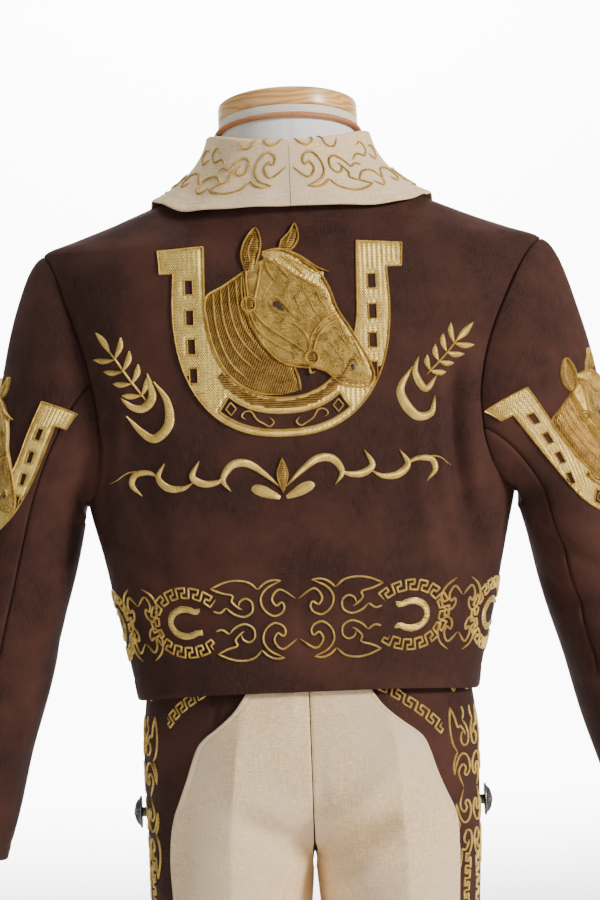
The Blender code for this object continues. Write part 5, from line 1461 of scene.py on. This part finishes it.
def draw_horse(work):
    def at(points):
        return [(HEAD_X + x, HEAD_Z + z) for x, z in points]

    field(work, at([(-21, 44), (-36, 34), (-48, 26), (-47, 8), (-44, -6), (-38, -20), (-28, -31), (-15, -37),
                    (0, -38.5), (12, -36), (10, -26), (8, -20), (-2, -16), (-12, -6), (-20, 8), (-22, 24)]),
          "dark", closed=False, tall=1.0, grain=1.2)
    field(work, at([(-21, 44), (-12, 50), (0, 55), (10, 53), (20, 46), (28, 39), (33, 30), (38, 16), (44, 6),
                    (52, -8), (57, -18), (60, -27), (57, -34), (48, -35), (38, -32), (30, -25), (22, -22),
                    (14, -20), (6, -19), (-2, -16), (-12, -6), (-20, 8), (-23, 24), (-22, 36)]),
          "seed", tall=1.5, grain=0.9, rim=2.2)
    field(work, at([(-22, 44), (-24, 54), (-21, 64), (-14, 72), (-11, 64), (-12, 55), (-17, 44)]), "dark",
          tall=1.7,
          rim=1.6)
    field(work, at([(0, 57), (3, 63), (8, 68), (12, 74), (14, 66), (12, 60), (6, 54)]), "dark", tall=1.7,
          rim=1.6)
    field(work, at([(-10, 56), (0, 57), (12, 52), (22, 44), (32, 40), (27, 36), (33, 30), (30, 27), (20, 32),
                    (10, 38), (0, 44), (-8, 50)]), "zigzag", tall=2.0, rim=2.0, grain=-0.6)
    for ear in ([(-22, 44), (-24, 54), (-21, 64), (-14, 72), (-11, 64), (-12, 55), (-15, 46)],
                [(1, 57), (3, 63), (8, 68), (12, 74), (14, 66), (12, 60), (7, 55)],
                [(-18, 48), (-19, 57), (-15, 67)], [(6, 60), (10, 69)]):
        stroke(work, at(ear), 1.3, "satin", 2.2)
    for lock in ([(-10, 56), (2, 57), (14, 52), (24, 45), (33, 41)], [(-8, 52), (4, 51), (16, 45), (27, 37)],
                 [(-8, 50), (2, 46), (12, 39), (22, 33), (32, 28)], [(0, 55), (8, 47), (18, 40)],
                 [(-4, 53), (2, 44), (8, 36)], [(-9, 52), (-6, 42), (0, 34)], [(4, 54), (12, 44), (20, 36)]):
        crescent(work, at(lock), 1.9, "satin", tall=2.6)
    for mane in ([(-21, 44), (-36, 34), (-48, 26), (-47, 8), (-43, -8), (-36, -22), (-26, -32), (-14, -37),
                  (0, -38.5)],
                 [(-43, 29), (-42, 10), (-38, -6), (-32, -18), (-22, -28)],
                 [(-38, 32), (-37, 14), (-33, -1), (-27, -12), (-17, -22)],
                 [(-33, 35), (-32, 18), (-28, 3), (-21, -8), (-11, -18)],
                 [(-28, 38), (-27, 22), (-24, 8), (-17, -4)], [(-24, 41), (-24, 26), (-21, 12)]):
        stroke(work, at(mane), 1.6, "satin", 1.7)
    stroke(work, at([(-23, 42), (-22, 28), (-20, 12), (-12, -4), (-4, -14), (4, -19), (14, -21), (22, -22)]),
           1.7,
           "satin", 2.2)
    stroke(work, at([(12, -36), (11, -28), (8, -20)]), 1.5, "satin", 1.6)
    face_edge = [(10, 53), (20, 46), (28, 39), (33, 30), (38, 16), (44, 6), (52, -8), (57, -18), (60, -27),
                 (57, -34), (48, -35), (38, -32), (30, -25), (22, -22)]
    stroke(work, at(face_edge), 1.6, "satin", 2.2)
    stroke(work, at([(31, -26), (38, -27), (46, -30)]), 1.2, "satin", 2.2)
    for strap in ([(-18, 18), (-10, 8), (2, -1), (12, -8), (18, -13)],
                  [(-20, 16), (-14, 4), (-2, -6), (10, -12)],
                  [(-20, 25), (-21, 35), (-21, 44)], [(-16, 24), (-13, 36), (-11, 48)],
                  [(21, -12), (24, -2), (31, 6), (41, 11)], [(18, -11), (21, 0), (28, 9), (38, 15)],
                  [(-3, 8), (8, 8), (16, 1), (20, -8)]):
        stroke(work, at(strap), 1.7, "satin", 2.5)
    for vein in ([(14, 34), (20, 22), (25, 12), (30, 8)], [(22, 34), (27, 22), (33, 14)],
                 [(9, 30), (13, 18), (18, 8)],
                 [(34, 4), (42, -6), (48, -15)], [(28, 2), (34, -8), (40, -18)],
                 [(-12, 20), (-8, 30), (-4, 38)],
                 [(44, 2), (50, -10), (54, -22)], [(38, 8), (44, -4), (48, -10)],
                 [(2, 18), (8, 14), (14, 6)]):
        crescent(work, at(vein), 1.1, "satin", tall=2.2)

    def ring(x, z, wide, deep, width, kind, tall):
        turns = np.linspace(0, 2 * math.pi, 17)
        stroke(work, at([(x + wide * math.cos(t), z + deep * math.sin(t)) for t in turns]), width, kind, tall,
               0)

    for x, z, size in ((-20, 21, 4.6), (20, -15, 4.4)):
        field(work, at([(x + size * math.cos(t), z + size * math.sin(t)) for t in np.linspace(0, 2 * math.pi,
            13)[:-1]]),
              "dark", tall=2.2, rim=1.5)
        ring(x, z, size, size, 1.6, "satin", 3.0)
    crescent(work, at([(-7, 23), (-2, 25), (5, 18), (7, 14)]), 2.0, "satin", tall=2.9)
    crescent(work, at([(-7, 22), (-2, 16), (4, 14), (8, 15)]), 1.6, "satin", tall=2.9)
    crescent(work, at([(44, -17), (48, -17), (50, -22)]), 2.0, "satin", tall=2.7)
    crescent(work, at([(18, -20), (19, -25), (22, -24)]), 2.0, "satin", tall=2.2)
    return at([(-5, 22), (-1, 23), (4, 17), (5, 15), (1, 15.5), (-3, 18)]), at([(44, -19), (47, -19),
        (49, -24), (46, -25)])


def sprig(work, tip, root, count, spread_out, crescents):
    """A leafy sprig from its tip leaf to its root, and the crescents that it grows from."""
    tip, root = np.array(tip, float), np.array(root, float)
    run = (root - tip) / np.linalg.norm(root - tip)
    beside = np.array([-run[1], run[0]])
    crescent(work, [tip, tip + run * 8.5 + beside * 0.4, tip + run * 17], 4.6, tall=1.1)
    stroke(work, [tip + run * 14, tip + run * 28 + beside * 0.6, root], 1.3, "satin", 0.9)
    length = np.linalg.norm(root - tip)
    for k in range(count):
        start = tip + run * (length * (0.40 + 0.52 * k / (count - 1)))
        for turn in (-1, 1):
            reach = spread_out * (1.0 - 0.07 * k)
            leaf = start - run * reach * 0.62 + beside * turn * reach * 0.80
            bow = start - run * reach * 0.27 + beside * turn * reach * 0.46
            crescent(work, [start, bow, leaf], 4.0, tall=1.1, lean=0.6)
    for points, widest in crescents:
        crescent(work, points, widest, tall=1.1)


def draw_back_sides(work):
    sprig(work, (-131.5, 82.5), (-99.5, 36.0), 4, 15.0,
          [([(-115.0, 39.0), (-108.0, 32.0), (-101.0, 31.5), (-95.5, 39.0), (-98.0, 54.0)], 6.0),
           ([(-112.0, 26.5), (-104.0, 16.0), (-95.0, 11.0), (-85.5, 20.0), (-86.0, 35.0), (-94.0, 48.5)],
            6.6)])
    sprig(work, (116.5, 80.0), (84.0, 46.0), 4, 13.5,
          [([(79.5, 58.5), (77.0, 48.0), (83.5, 37.0), (91.0, 46.0)], 5.0),
           ([(75.0, 52.0), (67.0, 36.0), (75.5, 20.5), (86.0, 21.0), (89.0, 32.5)], 6.6)])


def draw_scroll(work):
    """The long scroll under the shoe: a leaf between two arches, then a run of crescents each way."""
    x0, z0 = -12.0, -27.5
    crescent(work, [(x0, z0 + 23), (x0, z0 + 11), (x0, z0 + 1)], 7.4, "dark", tall=1.2)
    for side in (-1, 1):
        stroke(work, [(x0, z0 + 23), (x0 + side * 3.4, z0 + 12), (x0, z0)], 1.0, "satin", 1.5)
    for side, drop in ((-1, 0.0), (1, 3.5)):
        def at(points):
            return [(x0 + side * x, z0 + z + drop * min(1.0, x / 60.0)) for x, z in points]
        crescent(work, at([(2, 4), (12, 13), (23, 20), (33, 19), (39, 10), (34, 2)]), 5.6, tall=1.2, lean=0.6)
        field(work, at([(0, -4), (9, -3.5), (17, -1), (21, 3), (18, 6), (12, 5), (5, 0.5)])[::side], "satin",
              tall=1.4, rim=2.0, pitch=2.0, grain=side * 0.5)
        crescent(work, at([(36, 12), (44, 8), (53, 8), (59, 13), (54, 23)]), 5.0, tall=1.1)
        crescent(work, at([(58, 9), (66, 5), (76, 6), (82, 13), (77, 22)]), 5.0, tall=1.1)
        crescent(work, at([(80, 12), (88, 16), (97, 15), (99, 8), (93, 1)]), 4.2, tall=1.1)
        stroke(work, at([(86, 16), (100, 17), (108, 12), (113, 10)]), 1.1, "satin", 0.8, 0.5)

# Band patterns: an arabesque of C scrolls and flames, and a Greek key that follows any line.
ARABESQUE = [
    [(0.6, 13), (10.7, 19.4), (16, 13.8), (13.6, 9.0), (10.0, 11.0), (8.4, 8.0), (10.5, 4.0), (16, 2.4),
     (21.7, 6.8), (23.2, 14), (18.8, 20.5), (9.5, 25.2)],
    [(9.5, 25.2), (15.5, 25.6), (20.5, 23.6), (24.6, 19.8)],
    [(24.6, 19.8), (30, 24.6), (38, 26.2), (46, 25), (55, 21.4)],
    [(55, 21.4), (48, 18.4), (41.2, 16.4), (42.0, 12.6), (38.4, 8.6), (35.6, 7.0)],
    [(38.0, 9.2), (36.6, 12.6), (32.6, 14.2), (29.0, 11.2), (29.6, 5.4), (35, 2.4), (41.5, 4.4), (46, 8.6)],
    [(46, 8.6), (50.5, 5.6), (55, 6.6)],
]
KEY = [(0.0, -3.3), (0.0, 3.3), (5.4, 3.3), (5.4, 0.2), (2.7, 0.2), (2.7, -3.3)]
KEY_PITCH = 8.6


def arabesque(work, place, width=1.45, lines=ARABESQUE, kind="satin"):
    for line in lines:
        stroke(work, place(line), width, kind, 0.85, 0.10)


def keys(work, line, count=None, size=1.0, width=1.45, flip=1, kind="satin"):
    """A Greek key that runs along a line of flat places."""
    path = smooth_path(line, 1.0)
    run = np.concatenate([[0], np.linalg.norm(np.diff(path, axis=0), axis=1).cumsum()])
    ahead = unit(np.gradient(path, axis=0))
    count = count or max(int(run[-1] / (KEY_PITCH * size)), 1)
    pitch = run[-1] / count
    marks = []
    for k in range(count):
        marks += [(pitch * (k + u / KEY_PITCH), v * size * flip) for u, v in KEY]
    places = []
    for along_run, off in marks:
        x, z = (np.interp(along_run, run, path[:, i]) for i in (0, 1))
        dx, dz = (np.interp(along_run, run, ahead[:, i]) for i in (0, 1))
        places.append((x - dz * off, z + dx * off))
    stroke(work, places, width, kind, 0.8, 0.02, sharp=True)


def small_shoe(work, x, z, opening):
    """A little horseshoe of satin stitch, lying on its side and open towards one way."""
    turns = np.linspace(math.radians(52), math.radians(308), 22)
    outer = [(x + opening * 13.5 * math.cos(t) - opening * 1.5, z + 11.0 * math.sin(t)) for t in turns]
    inner = [(x + opening * 9.6 * math.cos(t) - opening * 1.0, z + 6.6 * math.sin(t)) for t in turns[::-1]]
    reach = [(x + opening * 10.5, z - 8.9), (x + opening * 10.0, z - 4.8)]
    mirrored = [(x + opening * 10.0, z + 4.8), (x + opening * 10.5, z + 8.9)]
    field(work, outer + reach + inner + mirrored, "satin", closed=False, tall=1.3, rim=1.2, pitch=1.8)


BAND_X, BAND_Z = -5.5, -110.0


def key_ring(work, x, z, opening, units=13):
    turns = np.linspace(math.radians(38), math.radians(322), 40)
    ring = [(x + opening * 25.5 * math.cos(t), z + 19.5 * math.sin(t)) for t in turns]
    keys(work, ring, units, 0.98)


def draw_band(work, middle, shoes, half_width=None):
    """The hem band about one arabesque: four scrolls, and the key rings beside it."""
    for flip_x in (-1, 1):
        for flip_z in (-1, 1):
            arabesque(work, lambda line: [(middle + flip_x * u, BAND_Z + flip_z * v) for u, v in line])
    for x, opening in shoes:
        small_shoe(work, x, BAND_Z, opening)
        key_ring(work, x, BAND_Z, opening)


# Where each motif lies: the back seen square on, the hem by its length round the body, each sleeve round
# the arm, the collar by the length of its edge, and each trouser leg by its distance from the side seam.
STEP = 4e-4


def lifted(place_at, lift_at, u, v):
    """Cloth surface and its normal at flat places, with the cloth's folds added."""
    base = place_at(u, v)
    normal = unit(np.cross(place_at(u + STEP, v) - base, place_at(u, v + STEP) - base))
    return base + normal * lift_at(u, v, base)[:, None], normal


def back_surface(u, v):
    return lifted(lambda x, z: jacket_places(z, jacket_angle(z, x)), lambda x, z,
                  base: jacket_lift(True, base), u, v)


arc_angle = np.linspace(-math.pi, math.pi * 2, 6001)
arc_places = jacket_places(np.full(6001, BAND_Z * MM), arc_angle)
arc_run = np.linalg.norm(np.diff(arc_places, axis=0, prepend=arc_places[:1]), axis=1).cumsum()
arc_run -= np.interp(math.pi / 2, arc_angle, arc_run)


def hem_surface(u, v):
    def place_at(run, z):
        angle = np.interp(-run, arc_run, arc_angle)
        reach = np.clip((-0.045 - z) / 0.113, 0, 1)
        return jacket_places(z - HEM_DIP * reach * np.abs(np.cos(angle)) ** 3, angle)

    def lift_at(run, z, base):
        return np.where(base[:, 1] < 0, jacket_lift(True, base), jacket_lift(False, base))

    return lifted(place_at, lift_at, u, v)


def grid_surface(places, normals, rows, columns, ahead):
    """A surface from a grid whose rows and columns stand for lengths: flat (row length, column length)."""
    def at(u, v):
        r = np.interp(u, rows, np.arange(len(rows)))
        c = np.interp(v, columns, np.arange(len(columns)))
        r0 = np.clip(r.astype(int), 0, len(rows) - 2)
        c0 = np.clip(c.astype(int), 0, len(columns) - 2)
        p, q = (r - r0)[:, None], (c - c0)[:, None]
        mixed = [grid[r0, c0] * (1 - p) * (1 - q) + grid[r0 + 1, c0] * p * (1 - q) + grid[r0,
            c0 + 1] * (1 - p) * q
                 + grid[r0 + 1, c0 + 1] * p * q for grid in (places, normals)]
        return mixed[0], unit(mixed[1])
    return at if ahead else (lambda u, v: at(v, u))


def resample(places, normals, lengths, wanted):
    """Each row of a grid read again at the wanted lengths along it."""
    out = np.empty((2, len(places), len(wanted), 3))
    for k in range(len(places)):
        for layer, grid in enumerate((places, normals)):
            for i in range(3):
                out[layer, k, :, i] = np.interp(wanted, lengths[k], grid[k, :, i])
    return out


def collar_surface_flat(side):
    places, normals = (grid[:, ::-1] for grid in collar_surface[side])
    lengths = np.linalg.norm(np.diff(places, axis=1, prepend=places[:, :1]), axis=-1).cumsum(axis=1)
    wanted = np.linspace(0, 0.070, 120)
    spread_places, spread_normals = resample(places, normals, lengths, wanted)
    line = spread_places[:, 34]
    run = np.linalg.norm(np.diff(line, axis=0, prepend=line[:1]), axis=1).cumsum()
    return grid_surface(spread_places, spread_normals, run, wanted, True), run[-1]


def leg_surface(side):
    wanted = np.linspace(-0.075, 0.125, 200)
    back, front = trouser_surface[side, True], trouser_surface[side, False]
    both = [np.concatenate([front[k][:, :0:-1], back[k]], axis=1) for k in (0, 1)]
    lengths = np.linalg.norm(np.diff(both[0], axis=1, prepend=both[0][:, :1]), axis=-1).cumsum(axis=1)
    lengths -= lengths[:, front[0].shape[1] - 1:front[0].shape[1]]
    places, normals = resample(both[0], both[1], lengths, wanted)
    return grid_surface(places[::-1], normals[::-1], leg_heights[::-1], wanted, False)


SLEEVE_MOTIF = {1: (math.radians(29), 0.0290), -1: (math.radians(14), 0.0245)}
SLEEVE_SCALE = 0.81


def sleeve_surface(side):
    """The cloth of the whole sleeve: flat (length round the arm, length up it from the armpit)."""
    turns = np.linspace(-math.pi, math.pi, 200) + SLEEVE_MOTIF[side][0]
    runs = np.concatenate([CAP_SCALE * (np.linspace(0, 1, 70) - 1), np.linspace(0.003, ARM_LENGTH, 80)])
    run, turn = np.meshgrid(runs, turns, indexing="ij")
    places, normals = (grid.transpose(1, 0, 2)[:, ::-1] for grid in sleeve_cloth(side, run, turn))
    lengths = np.linalg.norm(np.diff(places, axis=1, prepend=places[:, :1]), axis=-1).cumsum(axis=1)
    lengths -= lengths[:, 80:81]
    wanted = np.linspace(-0.20, 0.16, 240)
    places, normals = resample(places, normals, lengths, wanted)
    around = (turns - SLEEVE_MOTIF[side][0]) * ARM_ROUND
    flat = grid_surface(places, normals, around, wanted, True)
    return lambda u, v: flat(-side * u, v + SLEEVE_MOTIF[side][1])


back_work = Stitches()
draw_horseshoe(back_work)
eye, nostril = draw_horse(back_work)
draw_back_sides(back_work)
draw_scroll(back_work)
lay(back_work, "back_embroidery", back_surface)

# The eye and the nostril are dark brown thread.
pupil, pupil_tree, pupil_shader = new_finish("dark_thread", (0.035, 0.014, 0.010), 0.5)
pupil_place = add(pupil_tree, "ShaderNodeTexCoord").outputs["Object"]
pupil_noise = add(pupil_tree, "ShaderNodeTexNoise", {"Vector": pupil_place, "Scale": 1400.0, "Detail": 2.0})
pupil_tree.links.new(blend_colour(pupil_tree, pupil_noise.outputs["Fac"], (0.02, 0.008, 0.006),
                                  (0.08, 0.035, 0.025)),
                     pupil_shader.inputs["Base Color"])


def lay_dark(name, shapes, surface):
    work = Stitches()
    for shape in shapes:
        field(work, shape, "satin", tall=2.6, rim=1.0, pitch=1.6)
    flat = np.array(work.points["satin"]) * MM
    place, normal = surface(flat[:, 0], flat[:, 1])
    places = place + normal * flat[:, 2:3]
    places[:, 2] += BLADE
    mesh_piece(name, places, work.faces["satin"], work.flat["satin"], pupil, 60)


lay_dark("back_horse_eye_and_nostril", [eye, nostril], back_surface)

band_work = Stitches()
SHOE_STEP, SIDE_STEP = 74.5, 152.0
draw_band(band_work, BAND_X, [(BAND_X - SHOE_STEP, 1), (BAND_X + SHOE_STEP, -1)])
for side in (-1, 1):
    for flip_z in (-1, 1):
        for flip_x in (-1, 1):
            arabesque(band_work, lambda line: [(BAND_X + side * 113.0 + flip_x * u * 0.72,
                                                BAND_Z + flip_z * v * 0.92)
                                               for u, v in line], 1.35, ARABESQUE[:1])
    small_shoe(band_work, BAND_X + side * SIDE_STEP, BAND_Z, side)
    key_ring(band_work, BAND_X + side * SIDE_STEP, BAND_Z, side)
    for flip_z in (-1, 1):
        arabesque(band_work, lambda line: [(BAND_X + side * (SIDE_STEP + 74.5 + flip_x * u),
                                            BAND_Z + flip_z * v)
                                           for flip_x in (-1,) for u, v in line])
        arabesque(band_work, lambda line: [(BAND_X + side * (SIDE_STEP + 74.5 + u), BAND_Z + flip_z * v)
                                           for u, v in line])
    keys(band_work, [(side * (SIDE_STEP + 134.0), BAND_Z - 22), (side * (SIDE_STEP + 134.0), BAND_Z + 60)], 9,
         1.0)
lay(band_work, "hem_embroidery", hem_surface)

for side, word in ((1, "right"), (-1, "left")):
    work = Stitches()
    draw_horseshoe(work)
    eye, nostril = draw_horse(work)
    surface = sleeve_surface(side)

    def shrunk(u, v, surface=surface):
        return surface((u - SHOE_X * MM) * SLEEVE_SCALE, (v - 0.073) * SLEEVE_SCALE)

    lay(work, f"sleeve_embroidery_{word}", shrunk)
    lay_dark(f"sleeve_horse_eye_and_nostril_{word}", [eye, nostril], shrunk)

    work = Stitches()
    surface, length = collar_surface_flat(side)
    length = length / MM
    arabesque(work, lambda line: [(1.5 + u * 0.98, 39.5 - v * 1.02) for u, v in line], 1.7, kind="line")
    stroke(work, [(4, 49), (8, 43), (15, 42), (20, 47), (18, 53)], 1.6, "line")
    stroke(work, [(47, 20), (54, 28), (63, 28), (67, 21), (62, 16), (57, 20)], 1.7, "line")
    stroke(work, [(67, 21), (74, 30), (83, 29), (86, 22), (81, 18), (77, 22)], 1.7, "line")
    stroke(work, [(86, 22), (92, 28), (99, 26), (101, 20), (97, 17)], 1.6, "line")
    stroke(work, [(26, 52), (30, 44), (37, 44), (41, 50)], 1.5, "line")
    stroke(work, [(50, 36), (56, 41), (63, 40), (68, 45), (64, 50), (58, 47)], 1.6, "line")
    stroke(work, [(70, 42), (76, 38), (82, 42), (80, 48), (74, 47)], 1.5, "line")
    at = 100.0
    while at + 62 < length - 44:
        arabesque(work, lambda line: [(at + u * 0.9, 33.0 - v * 0.85) for u, v in line], 1.5, kind="line")
        at += 54.0
    keys(work, [(at, 17), (at + 14, 15), (length - 26, 9)], None, 0.75, 1.3, 1, "line")
    for dash in np.arange(1.2, length - 12, 3.3):
        stroke(work, [(dash, 7.6), (dash + 1.1, 7.6), (dash + 2.3, 7.6)], 0.95, "ivory", 0.40)
    lay(work, f"collar_embroidery_{word}", surface, side > 0)

    work = Stitches()
    surface = leg_surface(side)
    lean = 36.0 if side > 0 else 18.0
    for top in (-128.0, -282.0, -436.0, -590.0):
        for flip_u in (-1, 1):
            for flip_v in (-1, 1):
                arabesque(work, lambda line: [(lean + flip_v * v * 0.84, top - 100.0 + flip_u * u * 0.98)
                                              for u, v in line], 1.35)
        for flip_v in (-1, 1):
            keys(work, [(lean + flip_v * 7.0, top + 10.0), (lean + flip_v * 9.5, top - 14.0),
                        (lean + flip_v * 7.0, top - 38.0)], 6, 0.85, 1.3, flip_v)
    hip = ([(118, -146), (96, -160), (76, -176), (62, -190)] if side > 0
           else [(98, -146), (80, -156), (62, -168), (50, -180)])
    keys(work, hip, 8, 1.05, 1.45)
    lay(work, f"trouser_embroidery_{word}", surface, side < 0)

# ------------------------------------------------------------------ photo studio
# A pale sweep of paper behind and under the suit, a soft window light high on the right, a weak cool fill
# on the left, a light from above and one on the paper.
world = bpy.data.worlds.new("studio")
bpy.context.scene.world = world
world.use_nodes = True
world.node_tree.nodes["Background"].inputs["Color"].default_value = (1.0, 0.99, 0.985, 1)
world.node_tree.nodes["Background"].inputs["Strength"].default_value = 0.27

paper, paper_tree, paper_shader = new_finish("paper", (0.93, 0.925, 0.92), 0.9)
SWEEP_WIDTH, SWEEP_RADIUS, SWEEP_BACK = 20.0, 1.5, 9.0
sweep = [(-9.0, 0.0), (SWEEP_BACK - SWEEP_RADIUS, 0.0)]
for i in range(1, 17):
    turn = math.pi / 2 * i / 16
    sweep.append((SWEEP_BACK - SWEEP_RADIUS + SWEEP_RADIUS * math.sin(turn),
                  SWEEP_RADIUS - SWEEP_RADIUS * math.cos(turn)))
sweep.append((SWEEP_BACK, 7.0))
sweep_data = bpy.data.meshes.new("paper_sweep")
sweep_data.from_pydata([(x, y, z - 0.0005) for y, z in sweep for x in (-SWEEP_WIDTH / 2, SWEEP_WIDTH / 2)],
                       [],
                       [(2 * k, 2 * k + 1, 2 * k + 3, 2 * k + 2) for k in range(len(sweep) - 1)])
sweep_data.materials.append(paper)
sweep_data.shade_smooth()
paper_sweep = bpy.data.objects.new("paper_sweep", sweep_data)
bpy.context.scene.collection.objects.link(paper_sweep)


def soft_light(name, place, aim, size, watts, colour):
    lamp = bpy.data.lights.new(name, "AREA")
    lamp.shape = "DISK"
    lamp.size = size
    lamp.energy = watts
    lamp.color = colour
    made = bpy.data.objects.new(name, lamp)
    made.location = place
    made.rotation_euler = (Vector(aim) - Vector(place)).to_track_quat("-Z", "Y").to_euler()
    bpy.context.scene.collection.objects.link(made)


soft_light("window", (2.3, -1.6, 1.9), (0, 0, 0.85), 0.7, 128, (1.0, 0.945, 0.88))
soft_light("fill", (-2.4, -2.2, 1.3), (0, 0, 0.8), 1.6, 20, (0.84, 0.91, 1.0))
soft_light("top", (-0.3, 0.4, 2.9), (0, 0, 0.9), 0.8, 26, (1.0, 1.0, 1.0))
soft_light("backdrop", (0.0, 6.2, 3.6), (0, 9.0, 1.0), 3.0, 1700, (1.0, 1.0, 1.0))

lens = bpy.data.cameras.new("lens")
lens.lens = 148.1
lens.clip_start = 0.05
camera = bpy.data.objects.new("camera", lens)
camera.location = (0, -2.5, BLADE)
camera.rotation_euler = (Matrix.Rotation(math.radians(90), 3, "X")
                         @ Matrix.Rotation(math.radians(-2.17), 3, "Z")).to_euler()
bpy.context.scene.collection.objects.link(camera)
bpy.context.scene.camera = camera
